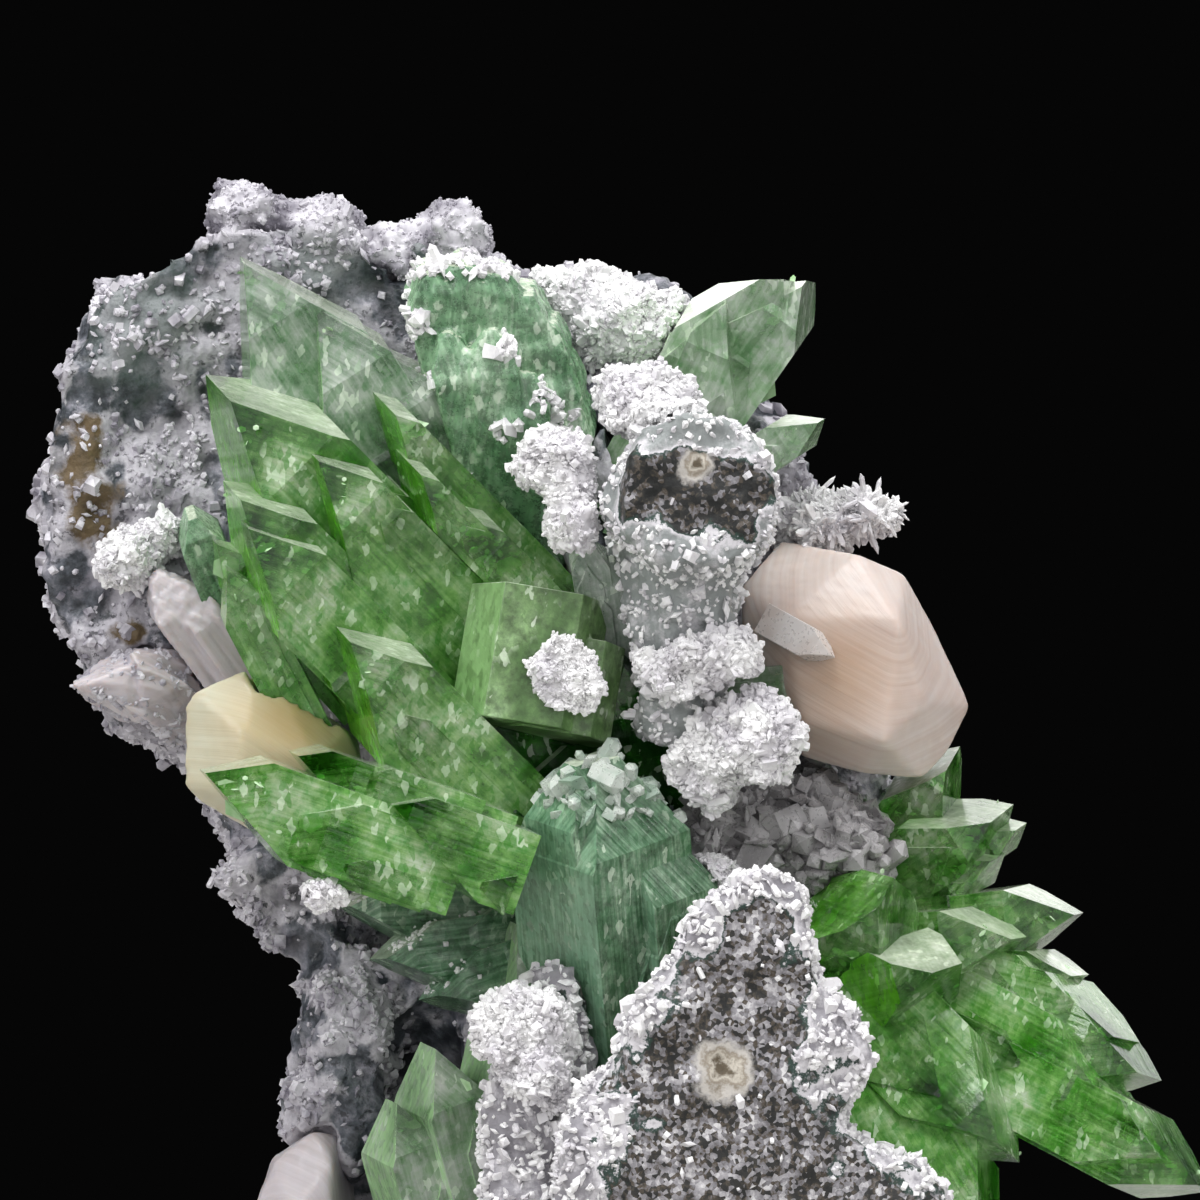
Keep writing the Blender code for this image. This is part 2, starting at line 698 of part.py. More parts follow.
PLATE_FRONT = 8.0
PLATE_BACK = 25.0
BASE_HEIGHT = 12.0
PLATE_OUTLINE = (
    (-22.0, 2.0), (30.0, 2.0), (33.0, 12.0), (34.0, 30.0), (31.0, 42.0), (30.0, 56.0), (25.0, 66.0),
    (24.0, 80.0), (20.8, 86.0), (19.6, 91.0), (14.0, 97.0), (9.6, 105.6), (5.0, 107.2), (1.0, 108.0),
    (-4.0, 109.0), (-9.0, 109.2), (-12.0, 110.6), (-15.0, 114.4), (-19.0, 113.0), (-24.0, 112.0),
    (-30.0, 113.6), (-35.4, 116.2), (-38.4, 114.8), (-39.8, 109.6), (-47.0, 109.4), (-52.4, 107.4),
    (-53.4, 102.0), (-54.4, 95.8), (-56.8, 89.0), (-56.0, 82.6), (-56.4, 77.0), (-53.6, 72.4),
    (-50.4, 66.6), (-45.4, 62.8), (-40.0, 57.0), (-36.4, 51.0), (-36.4, 47.4), (-34.8, 44.6),
    (-29.6, 40.0), (-27.6, 35.0), (-26.6, 29.0), (-27.6, 16.0), (-30.0, 8.0),
)


def rock(grow):
    """The basalt plate behind the crystals with the wider foot that it rests on."""
    shapes = [
        slab(PLATE_OUTLINE, PLATE_FRONT, PLATE_BACK),
        ball((3.0, 4.0, 62.0), (20.0, 12.0, 20.0)),
        ball((-26.0, 8.0, 66.0), (15.0, 9.0, 12.0)),
        ball((4.0, 7.0, 88.0), (14.0, 9.0, 12.0)),
        ball((-30.0, 8.0, 48.0), (8.0, 8.0, 9.0)),
        ball((-25.0, 2.0, 30.0), (6.0, 9.0, 14.0)),
        ball((16.0, 4.0, 36.0), (18.0, 10.0, 16.0)),
        ball((-4.0, 4.0, 34.0), (14.0, 10.0, 18.0)),
        ball((-12.0, 26.0, 80.0), (26.0, 6.0, 24.0)),
        ball((4.0, 25.0, 40.0), (24.0, 7.0, 34.0)),
        ball((2.0, -6.0, 2.0), (38.0, 32.0, BASE_HEIGHT)),
        ball((3.0, 10.0, 2.0), (36.0, 20.0, BASE_HEIGHT + 6.0)),
    ]
    mesh = rough_body(shapes, voxel=2.2, rough=3.0, grain=11.0, faces=630, seed=2, grow=grow)
    bm = bmesh.new()
    bm.from_mesh(mesh)
    slice_off(bm, Vector((0, 0, 0)), -UP)
    return mesh_from(bm)


# Assembly


def material(name, colour, roughness):
    made = bpy.data.materials.new(name)
    made.use_nodes = True
    surface = made.node_tree.nodes["Principled BSDF"]
    surface.inputs["Base Color"].default_value = (*colour, 1.0)
    surface.inputs["Roughness"].default_value = roughness
    surface.inputs["Metallic"].default_value = 0.0
    return made


def finish(name, mesh, look):
    """Puts the piece in the scene in metres."""
    mesh.transform(Matrix.Scale(METRES_PER_MM, 4))
    mesh.materials.clear()
    mesh.materials.append(look)
    piece = bpy.data.objects.new(name, mesh)
    bpy.context.scene.collection.objects.link(piece)


def build():
    clear_scene()
    green = material("apophyllite green", (0.16, 0.42, 0.10), 0.1)
    frosted = material("apophyllite frosted", (0.27, 0.50, 0.28), 0.5)
    teal = material("apophyllite teal", (0.10, 0.24, 0.15), 0.4)
    cream = material("stilbite", (0.72, 0.58, 0.45), 0.4)
    white = material("white druse", (0.72, 0.70, 0.74), 0.5)
    grey = material("chalcedony", (0.45, 0.44, 0.46), 0.5)
    basalt = material("basalt", (0.14, 0.14, 0.15), 0.8)
    # The first pieces keep their whole shape, and each later one gives way to those before it.
    pieces = (
        ("apophyllite_block", block_crystal, frosted),
        ("apophyllite_front_left", front_left, green),
        ("apophyllite_left_fan", left_fan, green),
        ("apophyllite_teal_blade", teal_blade, teal),
        ("apophyllite_upper_left", upper_left_blade, green),
        ("apophyllite_frosted_dome", frosted_dome, frosted),
        ("apophyllite_upper_right", upper_right, green),
        ("apophyllite_upper_right_small", upper_right_small, green),
        ("apophyllite_small_clear", small_clear, green),
        ("stilbite_right", right_stilbite, cream),
        ("stilbite_left", left_stilbite, cream),
        ("apophyllite_centre", deep_centre, green),
        ("apophyllite_centre_chip", centre_chip, green),
        ("apophyllite_right_spray_top", right_spray_top, green),
        ("apophyllite_right_spray_middle", right_spray_middle, green),
        ("apophyllite_right_spray_low", right_spray_low, green),
        ("apophyllite_right_spray_front", right_spray_front, green),
        ("apophyllite_lower_left", lower_left, green),
        ("apophyllite_dark_spray", dark_spray, teal),
        ("stilbite_pale_column", pale_column, cream),
        ("stilbite_grey_point", grey_point, cream),
        ("stilbite_low_left", low_stilbite, cream),
        ("apophyllite_dull_crystal", dull_crystal, frosted),
        ("clear_crystal_on_stilbite", clear_on_stilbite, white),
        ("chalcedony_centre_stalactite", centre_stalactite, grey),
        ("chalcedony_front_pillar", front_pillar, grey),
        ("chalcedony_druzy_column", druzy_column, grey),
        ("quartz_grey", grey_quartz, grey),
        ("druse_crest", crest_crust, white),
        ("druse_crest_knob", crest_knob, white),
        ("druse_upper_right", upper_right_crust, white),
        ("druse_stalactite_cap", stalactite_cap, white),
        ("druse_stalactite_side", stalactite_side_crust, white),
        ("druse_centre_high", centre_crust_high, white),
        ("druse_centre_low", centre_crust_low, white),
        ("druse_right", right_crust, white),
        ("druse_left", left_crust, white),
        ("druse_front_tuft", front_tuft, white),
        ("druse_on_block", block_crust, white),
        ("druse_column_top", column_crust, white),
        ("druse_ledge", ledge_crust, white),
        ("basalt_rock", rock, basalt),
    )
    placed = []
    for name, builder, look in pieces:
        mesh = builder(0.0)
        box = box_of(mesh)
        for other_box, cutter in placed:
            if boxes_meet(box, other_box):
                # The exact solver leaves a wedge of the rock uncut inside the pillar; this one doesn't.
                mesh = combined(mesh, cutter, "DIFFERENCE", "MANIFOLD")
        grown = builder(GAP)
        placed.append((box_of(grown), grown))
        finish(name, largest_body(mesh), look)


build()
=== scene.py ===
"""Looks of the apophyllite cluster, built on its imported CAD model."""
import json
import math
import random

import bmesh
import bpy
import numpy as np
from mathutils import Euler, Matrix, Vector, bvhtree, noise

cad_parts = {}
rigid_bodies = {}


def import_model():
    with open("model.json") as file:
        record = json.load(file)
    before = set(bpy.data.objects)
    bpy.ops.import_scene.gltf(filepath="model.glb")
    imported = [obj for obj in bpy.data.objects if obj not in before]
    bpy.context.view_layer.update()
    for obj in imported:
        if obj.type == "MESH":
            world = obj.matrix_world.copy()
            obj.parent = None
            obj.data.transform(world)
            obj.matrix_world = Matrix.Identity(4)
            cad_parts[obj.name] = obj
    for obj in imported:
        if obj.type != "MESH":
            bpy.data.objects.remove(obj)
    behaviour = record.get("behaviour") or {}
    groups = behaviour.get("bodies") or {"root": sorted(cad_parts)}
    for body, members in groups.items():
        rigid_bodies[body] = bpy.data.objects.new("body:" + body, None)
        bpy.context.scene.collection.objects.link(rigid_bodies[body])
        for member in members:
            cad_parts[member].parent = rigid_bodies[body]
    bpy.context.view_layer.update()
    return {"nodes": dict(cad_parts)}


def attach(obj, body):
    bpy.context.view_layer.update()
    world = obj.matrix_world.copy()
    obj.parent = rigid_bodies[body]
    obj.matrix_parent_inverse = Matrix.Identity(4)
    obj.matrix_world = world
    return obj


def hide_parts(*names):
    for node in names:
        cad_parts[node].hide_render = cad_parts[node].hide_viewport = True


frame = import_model()


# Basalt rock
# A plate of weathered basalt on a wider foot, sawn flat below so that it stands.
# Its skin is grey to lilac quartz druse with brown iron stains, grown on the rock.

MM = 0.001
ROCK_VOXEL = 0.85
ROCK_BUMPS = ((9.0, 1.6), (3.6, 1.4), (1.4, 0.5))


def colour(hex_value):
    """An sRGB hex colour turned to linear, with full alpha."""
    parts = [int(hex_value[start:start + 2], 16) / 255 for start in (1, 3, 5)]
    linear = [part / 12.92 if part <= 0.04045 else ((part + 0.055) / 1.055) ** 2.4 for part in parts]
    return (*linear, 1.0)


def add(tree, kind, links=None, **settings):
    """Adds a node; links gives each input a value, a hex colour, another node or one of its outputs."""
    made = tree.nodes.new(kind)
    for name, value in settings.items():
        setattr(made, name, value)
    for name, value in (links or {}).items():
        if isinstance(value, bpy.types.Node):
            value = next(output for output in value.outputs if output.enabled)
        if isinstance(value, bpy.types.NodeSocket):
            tree.links.new(value, made.inputs[name])
        else:
            made.inputs[name].default_value = colour(value) if str(value).startswith("#") else value
    return made


def toned(ramp, *stops):
    """Gives a colour ramp its tones; each stop is a place along it and a hex colour."""
    tones = ramp.color_ramp.elements
    for element, (position, tone) in zip(tones, (stops[0], stops[-1])):
        element.position = position
        element.color = colour(tone)
    for position, tone in stops[1:-1]:
        tones.new(position).color = colour(tone)


def new_material(name):
    """An empty material, and the function that adds a shader node to it."""
    made = bpy.data.materials.new(name)
    made.use_nodes = True
    made.node_tree.nodes.clear()

    def node(kind, links=None, **settings):
        return add(made.node_tree, "ShaderNode" + kind, links, **settings)

    return made, node


def cad_copy(node):
    """A CAD node's surface in millimetres, with its loose triangles merged."""
    bm = bmesh.new()
    bm.from_mesh(frame["nodes"][node].data)
    bmesh.ops.scale(bm, vec=(1 / MM,) * 3, verts=bm.verts)
    bmesh.ops.remove_doubles(bm, verts=bm.verts, dist=0.003)
    return mesh_from(bm)


def mesh_from(bm):
    """The bmesh as a mesh whose faces point outwards."""
    bmesh.ops.recalc_face_normals(bm, faces=bm.faces)
    mesh = bpy.data.meshes.new("shape")
    bm.to_mesh(mesh)
    bm.free()
    return mesh


def stored(mesh, name, values, domain="POINT"):
    """Keeps a number for each point or face of the mesh under a name."""
    mesh.attributes.new(name, "FLOAT", domain).data.foreach_set("value", values)


def read(mesh, name):
    """The numbers that the mesh keeps under a name."""
    return np.array([value.value for value in mesh.attributes[name].data])


def new_object(name, data):
    """An object that is in the scene."""
    made = bpy.data.objects.new(name, data)
    bpy.context.scene.collection.objects.link(made)
    return made


def finished(mesh, modifiers):
    """The mesh as a stack of modifiers leaves it; each entry is a type and its settings."""
    holder = new_object("holder", mesh)
    for kind, settings in modifiers:
        modifier = holder.modifiers.new(kind, kind)
        for setting, value in settings.items():
            setattr(modifier, setting, value)
    graph = bpy.context.evaluated_depsgraph_get()
    result = bpy.data.meshes.new_from_object(holder.evaluated_get(graph))
    bpy.data.objects.remove(holder)
    return result


def remeshed(mesh, voxel, smooth=4):
    """An even net of small faces over the shape, with the CAD facets smoothed away."""
    return finished(mesh, [
        ("REMESH", {"mode": "VOXEL", "voxel_size": voxel, "use_smooth_shade": True}),
        ("SMOOTH", {"factor": 0.5, "iterations": smooth}),
    ])


def roughened(mesh, bumps, sink=0.0, seed=0):
    """Raises and sinks the surface by layers of noise, each a grain and a rise.

    It stores how high each point came as "level", near 0.5 where it hasn't moved.
    """
    shift = Vector((31.7, 12.9, 7.3)) * seed
    most = sum(rise for _, rise in bumps)
    heights = [
        sum(rise * noise.fractal((vert.co + shift) / grain, 1.0, 2.0, 2) for grain, rise in bumps)
        for vert in mesh.vertices
    ]
    normals = [vert.normal.copy() for vert in mesh.vertices]
    for vert, normal, height in zip(mesh.vertices, normals, heights):
        vert.co += normal * (height - sink)
    stored(mesh, "level", [0.5 + 0.8 * height / most for height in heights])
    return mesh


def snow_on(mesh, grain, share, seed=0):
    """Stores how thick white quartz lies at each point: in lumpy patches, more on what stands proud."""
    shift = Vector((3.1, 17.7, 8.9)) * seed
    drift = np.array([noise.fractal((vert.co + shift) / grain, 1.0, 2.0, 3) for vert in mesh.vertices])
    snow = (share + 1.1 * drift + 1.2 * (read(mesh, "level") - 0.5)).clip(0.0, 1.0)
    stored(mesh, "snow", snow)
    return snow


def spots(mesh, name, areas):
    """Stores how strongly each point lies in one of some round areas, soft at their rims."""
    centres = [(Vector(centre), radius) for centre, radius in areas]
    values = []
    for vert in mesh.vertices:
        waver = 1.0 + 0.5 * noise.noise(vert.co / 3.0)
        near = [1.4 - 1.4 * (vert.co - centre).length / (radius * waver) for centre, radius in centres]
        values.append(min(1.0, max(0.0, *near)))
    stored(mesh, name, values)


def placed(name, mesh, look, slot, *nodes):
    """Puts a piece made in millimetres into the scene, riding on the one body, in place of CAD nodes."""
    mesh.transform(Matrix.Scale(MM, 4))
    mesh.materials.clear()
    mesh.materials.append(look)
    piece = new_object(name, mesh)
    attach(piece, "root")
    if nodes:
        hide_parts(*nodes)


def druzy_basalt():
    """Basalt, weathered and grown over by quartz.

    White crusts lie on blue-grey stone, between dark pits and brown iron stains; pits and low places get
    painted shade.
    """
    made, node = new_material("druzy basalt")
    place = node("TexCoord").outputs["Object"]
    level, snow, stain, glaze = (
        node("Attribute", attribute_name=name).outputs["Fac"]
        for name in ("level", "snow", "stain", "glaze")
    )
    cloud = node("TexNoise", {"Vector": place, "Scale": 1 / (3.33 * MM), "Detail": 6.0, "Roughness": 0.65})
    grit = node("TexNoise", {"Vector": place, "Scale": 1 / (0.667 * MM), "Detail": 3.0})
    pits = node("TexNoise", {"Vector": place, "Scale": 1 / (1.54 * MM), "Detail": 5.0, "Roughness": 0.7})
    tone = node("ValToRGB", {"Fac": cloud})
    toned(tone, (0.4, "#33383e"), (0.5, "#62666f"), (0.62, "#9c9aa5"))
    crust = node("Mix", {0: grit, 6: "#8f8b97", 7: "#dedbe1"}, data_type="RGBA")
    ragged = node("Math", {0: cloud, 1: 0.9, 2: snow}, operation="MULTIPLY_ADD")
    covered = node("MapRange", {"Value": ragged, "From Min": 0.76, "From Max": 0.94})
    # Painted shade: low places, by the "level" attribute, and noise pits are darkened towards #25272c.
    sunk_shade = node("MapRange", {"Value": level, "From Min": 0.42, "From Max": 0.2, "To Max": 0.85})
    pit_shade = node("MapRange", {"Value": pits, "From Min": 0.43, "From Max": 0.36, "To Max": 0.85})
    painted_hollow_shade = node("Math", {0: sunk_shade, 1: pit_shade}, operation="MAXIMUM")
    brown = node("Math", {0: stain, 1: cloud}, operation="MULTIPLY")
    rusty = node("MapRange", {"Value": brown, "From Min": 0.24, "From Max": 0.34})
    rust = node("Mix", {0: pits, 6: "#16120c", 7: "#8a7452"}, data_type="RGBA")
    glazed = node("Math", {0: glaze, 1: 0.7}, operation="MULTIPLY")
    for share, over in ((covered, crust), (painted_hollow_shade, "#25272c"), (rusty, rust), (glazed, "#66746f")):
        tone = node("Mix", {0: share, 6: tone, 7: over}, data_type="RGBA")
    gloss = node("MapRange", {"Value": covered, "To Min": 0.28, "To Max": 0.6})
    bump = node("Bump", {"Height": grit, "Strength": 0.6, "Distance": 0.4 * MM})
    surface = node("BsdfPrincipled", {"Base Color": tone, "Roughness": gloss, "Normal": bump})
    node("OutputMaterial", {"Surface": surface})
    return made


basalt = druzy_basalt()
rock_mesh = roughened(remeshed(cad_copy("basalt_rock"), ROCK_VOXEL), ROCK_BUMPS, sink=0.5)
for vert in rock_mesh.vertices:
    vert.co.z = max(vert.co.z, 0.0)
STAINS = (
    ((-52.0, 6.0, 92.0), 6.5), ((-51.0, 6.0, 84.0), 6.0), ((-47.5, 7.0, 73.0), 3.4),
    ((8.0, 0.0, 53.0), 5.0), ((20.0, 0.0, 53.0), 4.0), ((-2.0, -8.0, 35.0), 8.0),
)
GLAZED = (((-46.0, 8.0, 104.0), 9.0), ((-16.0, 8.0, 112.0), 6.0), ((-30.0, 8.0, 108.0), 8.0))
spots(rock_mesh, "stain", STAINS)
spots(rock_mesh, "glaze", GLAZED)
rock_snow = snow_on(rock_mesh, 6.0, 0.5, seed=1)
rock_skin = rock_mesh.copy()
placed("rock_body", rock_mesh, basalt, "basalt", "basalt_rock")


# Druse on the rock
# Fine quartz and apophyllite crystals a millimetre long, grown close together on the rock's skin.
# They lie thinner where large crystals came first, and are larger and whiter in scattered patches.

GRAIN_SHAPES = {
    "block": dict(segments=4, base=0.62, shoulder=0.5, body=0.75, point=0.12),
    "prism": dict(segments=6, base=0.4, shoulder=0.38, body=0.95, point=0.22),
    "plate": dict(segments=4, base=0.72, shoulder=0.62, body=0.75, point=0.08, flat=0.32),
}


def grain_object(name, segments, base, shoulder, body, point, flat=1.0):
    """One small crystal of unit height: a short prism with a blunt point, its foot at the origin."""
    bm = bmesh.new()
    foot = bmesh.ops.create_cone(
        bm, cap_ends=True, segments=segments, radius1=base, radius2=shoulder, depth=body
    )
    bmesh.ops.translate(bm, vec=(0, 0, body / 2 - 0.3), verts=foot["verts"])
    top = max(bm.faces, key=lambda face: face.calc_center_median().z)
    raised = bmesh.ops.poke(bm, faces=[top])
    bmesh.ops.translate(bm, vec=(0.08, 0.05, point), verts=raised["verts"])
    bmesh.ops.scale(bm, vec=(1.0, flat, 1.0), verts=bm.verts)
    return bpy.data.objects.new(name, mesh_from(bm))


grain_kinds = bpy.data.collections.new("grain shapes")
for kind, sizes in GRAIN_SHAPES.items():
    grain_kinds.objects.link(grain_object("grain " + kind, **sizes))


def scatter_tree(kinds):
    """Geometry nodes that put one of some small shapes on every point and make them one mesh."""
    tree = bpy.data.node_groups.new("strewn", "GeometryNodeTree")
    for way in ("INPUT", "OUTPUT"):
        tree.interface.new_socket("Geometry", in_out=way, socket_type="NodeSocketGeometry")
    shapes = add(tree, "GeometryNodeCollectionInfo", {"Collection": kinds, "Separate Children": True})
    turn, size, kind = (
        add(tree, "GeometryNodeInputNamedAttribute", {"Name": name}, data_type=data_type)
        for name, data_type in (("turn", "FLOAT_VECTOR"), ("size", "FLOAT_VECTOR"), ("kind", "INT"))
    )
    shown = add(tree, "GeometryNodeInstanceOnPoints", {
        "Points": add(tree, "NodeGroupInput"),
        "Instance": shapes,
        "Pick Instance": True,
        "Instance Index": kind,
        "Rotation": turn,
        "Scale": size,
    })
    solid = add(tree, "GeometryNodeRealizeInstances", {"Geometry": shown})
    add(tree, "NodeGroupOutput", {0: solid})
    return tree


def strewn(points, tree):
    """One mesh of small shapes; each point is a place, a turn, a size and a kind."""
    mesh = bpy.data.meshes.new("points")
    mesh.vertices.add(len(points))
    places, turns, sizes, kinds = zip(*points)
    mesh.vertices.foreach_set("co", [value for place in places for value in place])
    for name, vectors in (("turn", turns), ("size", sizes)):
        held = mesh.attributes.new(name, "FLOAT_VECTOR", "POINT")
        held.data.foreach_set("vector", [value for vector in vectors for value in vector])
    mesh.attributes.new("kind", "INT", "POINT").data.foreach_set("value", kinds)
    return finished(mesh, [("NODES", {"node_group": tree})])


grain_tree = scatter_tree(grain_kinds)
GRAIN_MIX = (0, 0, 1, 1, 2)


def grains_on(mesh, count, size, seed, lean=0.5, tall=1.3, cover=None):
    """Small crystals spread over a surface, leaning by chance, as one mesh.

    size is their usual width in mm, tall their height in widths, and cover how many grow at each
    point of the surface. Of five grains two are blocks, two are plates and one is a prism.
    """
    chance = np.random.default_rng(seed)
    mesh.calc_loop_triangles()
    corners = np.array([triangle.vertices[:] for triangle in mesh.loop_triangles])
    places = np.array([vert.co[:] for vert in mesh.vertices])
    normals = np.array([vert.normal[:] for vert in mesh.vertices])
    areas = np.array([triangle.area for triangle in mesh.loop_triangles])
    if cover is not None:
        areas = areas * cover[corners].mean(axis=1)
    picks = chance.choice(len(areas), size=count, p=areas / areas.sum())
    weights = chance.dirichlet((1.0, 1.0, 1.0), count)[:, :, None]
    spots_on = (places[corners[picks]] * weights).sum(axis=1)
    upward = (normals[corners[picks]] * weights).sum(axis=1)
    upward += lean * chance.normal(size=(count, 3))
    points = []
    for place, up in zip(spots_on, upward):
        turn = Vector(up).to_track_quat("Z", "Y").to_euler()
        spin = Euler((0.0, 0.0, chance.uniform(0.0, math.tau))).to_matrix()
        turn = (turn.to_matrix() @ spin).to_euler()
        wide = size * chance.lognormal(0.0, 0.35)
        high = wide * tall * chance.uniform(0.7, 1.3)
        points.append((place, turn, (wide, wide, high), int(chance.choice(GRAIN_MIX))))
    return strewn(points, grain_tree)


def clearance(mesh, nodes, distance):
    """1 where a point of the mesh is clear of some CAD nodes by a distance in mm, else 0."""
    corners = []
    faces = []
    for node in nodes:
        source = cad_copy(node)
        faces += [[len(corners) + corner for corner in face.vertices] for face in source.polygons]
        corners += [vert.co.copy() for vert in source.vertices]
    near = bvhtree.BVHTree.FromPolygons(corners, faces)
    return np.array([
        1.0 if near.find_nearest(vert.co, distance)[0] is None else 0.0 for vert in mesh.vertices
    ])


def quartz_druse(name, pale, deep, clearness=0.0):
    """Quartz druse, grown: glassy little crystals that look white where thick and grey where thin."""
    made, node = new_material(name)
    place = node("TexCoord").outputs["Object"]
    cloud = node("TexNoise", {"Vector": place, "Scale": 1 / (3.85 * MM), "Detail": 4.0})
    amount = node("MapRange", {"Value": cloud, "From Min": 0.38, "From Max": 0.58})
    tone = node("Mix", {0: amount, 6: deep, 7: pale}, data_type="RGBA")
    grit = node("TexNoise", {"Vector": place, "Scale": 1 / (0.417 * MM), "Detail": 2.0})
    gloss = node("MapRange", {"Value": grit, "To Min": 0.12, "To Max": 0.5})
    surface = node("BsdfPrincipled", {
        "Base Color": tone, "Roughness": gloss, "IOR": 1.54, "Transmission Weight": clearness,
    })
    node("OutputMaterial", {"Surface": surface})
    return made


LARGE_CRYSTALS = [name for name in frame["nodes"] if name.startswith(("apophyllite", "stilbite", "clear"))]
BARE_FOOT = 1.8
BACK_FROM = 14.0
rock_druse = quartz_druse("grey quartz druse", "#dcd9e0", "#96929d")
skin_clear = clearance(rock_skin, LARGE_CRYSTALS, 1.1)
skin_clear[np.array([vert.co.z for vert in rock_skin.vertices]) < BARE_FOOT] = 0.0
patches = (0.03 + rock_snow ** 2) * (1 - 0.8 * read(rock_skin, "stain"))
in_front = np.array([1.0 if vert.co.y < BACK_FROM else 0.0 for vert in rock_skin.vertices])
for side, count, size, seed, there in (
    ("front", 10000, 0.62, 3, in_front), ("back", 8000, 0.8, 4, 1 - in_front),
):
    cover = skin_clear * patches * there
    grains = grains_on(rock_skin, count, size, seed=seed, tall=0.9, lean=0.4, cover=cover)
    placed("rock_druse_" + side, grains, rock_druse, "druse_white")


# Chalcedony stalactites
# Grey chalcedony that grew round hanging threads, later broken so that dark speckled cores show.
# The rims are crusted with white quartz, and the cores are black, brown and grey grains.

STALACTITE_BUMPS = ((3.0, 0.5), (1.1, 0.25))
CORE_EDGE = 0.25


def speckled_chalcedony(name, grey, eye, eye_size, dark):
    """Chalcedony, broken: black, brown, grey and white grains like sugar about a banded eye.

    It has a white rim. eye is where the thread stood that the stalactite grew round and eye_size how
    far its bands reach, both in mm, and dark is how much of the core is black.
    """
    made, node = new_material(name)
    place = node("TexCoord").outputs["Object"]
    cells = node("TexVoronoi", {"Vector": place, "Scale": 1 / (0.435 * MM)})
    shade = node("SeparateColor", {"Color": cells.outputs["Color"]})
    cloud = node("TexNoise", {"Vector": place, "Scale": 1 / (2.63 * MM), "Detail": 7.0, "Roughness": 0.7})
    mixed = node("Math", {0: shade, 1: 0.35, 2: cloud}, operation="MULTIPLY_ADD")
    spread = node("MapRange", {"Value": mixed, "From Min": 0.45 + dark, "From Max": 0.95 + dark})
    grains = node("ValToRGB", {"Fac": spread})
    toned(grains, (0.0, "#151717"), (0.25, "#2b2a28"), (0.38, "#544a3e"), (0.5, "#77757a"),
          (0.75, "#a9a6ab"), (1.0, "#e4e2e4"))
    flat = node("VectorMath", {0: place, 1: (1.0, 0.0, 1.0)}, operation="MULTIPLY")
    away = node("VectorMath", {0: flat, 1: Vector(eye) * MM}, operation="DISTANCE")
    wavy = node("Math", {0: cloud, 1: 1.6 * eye_size * MM, 2: away}, operation="MULTIPLY_ADD")
    ring = node("MapRange",
                {"Value": wavy, "From Min": 0.6 * eye_size * MM, "From Max": 1.9 * eye_size * MM})
    bands = node("ValToRGB", {"Fac": ring})
    toned(bands, (0.0, "#3f3626"), (0.35, "#5f5340"), (0.5, "#cdc6ba"), (0.62, "#94897a"),
          (0.75, "#c6c1bb"), (1.0, "#a9a5a2"))
    seen = node("MapRange", {"Value": ring, "From Min": 1.0, "From Max": 0.8})
    eyed = node("Mix", {0: seen, 6: grains, 7: bands}, data_type="RGBA")
    core = node("Attribute", attribute_name="core").outputs["Fac"]
    inward = node("Math", {0: core, 1: cloud}, operation="ADD")
    tone = grey
    for outer, inner, least, over in (
        (0.5, 0.66, 0.15, "#dcd9de"), (0.72, 0.76, 0.0, "#27433b"), (0.78, 0.86, 0.0, eyed),
    ):
        share = node("MapRange", {"Value": inward, "From Min": outer, "From Max": inner, "To Min": least})
        tone = node("Mix", {0: share, 6: tone, 7: over}, data_type="RGBA")
    bump = node("Bump", {"Height": mixed, "Strength": 0.7, "Distance": 0.4 * MM})
    surface = node("BsdfPrincipled", {"Base Color": tone, "Roughness": 0.4, "Normal": bump})
    node("OutputMaterial", {"Surface": surface})
    return made


stalactite_stone = speckled_chalcedony("dark cored chalcedony", "#828a88", (9.4, 0.0, 89.3), 1.9, 0.12)
pillar_stone = speckled_chalcedony("speckled chalcedony", "#85828a", (11.8, 0.0, 30.8), 3.0, 0.0)
white_druse = quartz_druse("white quartz druse", "#fbfafb", "#e2dfe4")


def stalactite(node, stone, voxel, core_areas, grains, grain_size, seed):
    """A chalcedony piece with its core marked and its outside crusted with small crystals."""
    body = remeshed(cad_copy(node), voxel)
    spots(body, "core", core_areas)
    body = roughened(body, STALACTITE_BUMPS, sink=0.2, seed=seed)
    cover = clearance(body, LARGE_CRYSTALS, 0.8) * np.where(read(body, "core") > CORE_EDGE, 0.03, 1.0)
    crust = grains_on(body, grains, grain_size, seed=seed, cover=cover)
    placed(node + "_crust", crust, white_druse, "druse_white")
    placed(node + "_body", body, stone, "chalcedony_grey", node)


STALACTITE_CORE = (((3.8, -28.5, 87.2), 4.8), ((8.6, -28.5, 86.4), 4.9), ((13.0, -28.0, 85.8), 4.6))
PILLAR_CORE = (
    ((15.5, -37.0, 43.0), 5.0), ((14.5, -37.0, 37.0), 8.0), ((11.0, -37.0, 29.0), 11.0),
    ((13.0, -37.0, 21.0), 15.0), ((10.0, -37.0, 10.0), 16.0), ((24.0, -37.0, 12.0), 13.0),
)
stalactite("chalcedony_centre_stalactite", stalactite_stone, 0.5, STALACTITE_CORE, 2600, 0.45, 1)
stalactite("chalcedony_front_pillar", pillar_stone, 0.7, PILLAR_CORE, 5200, 0.55, 2)
stalactite("chalcedony_druzy_column", pillar_stone, 0.6, (((-3.4, -17.0, 36.0), 4.0),), 1800, 0.6, 3)


# Grey sugary quartz
# A block of intergrown quartz crystals, grey and half clear, with brown specks between them.

grey_druse = quartz_druse("grey block quartz", "#c4c1c3", "#858284", 0.3)
quartz_body = roughened(remeshed(cad_copy("quartz_grey"), 0.6), ((3.0, 0.5),), sink=0.8, seed=5)
quartz_blocks = grains_on(quartz_body, 900, 1.5, seed=6, tall=1.0)
placed("quartz_blocks", quartz_blocks, grey_druse, "chalcedony_grey")
placed("quartz_body", quartz_body, grey_druse, "chalcedony_grey", "quartz_grey")


# White druse tufts
# Patches of white crystals that stand out from the rock like coarse snow, up to the CAD lump's skin.

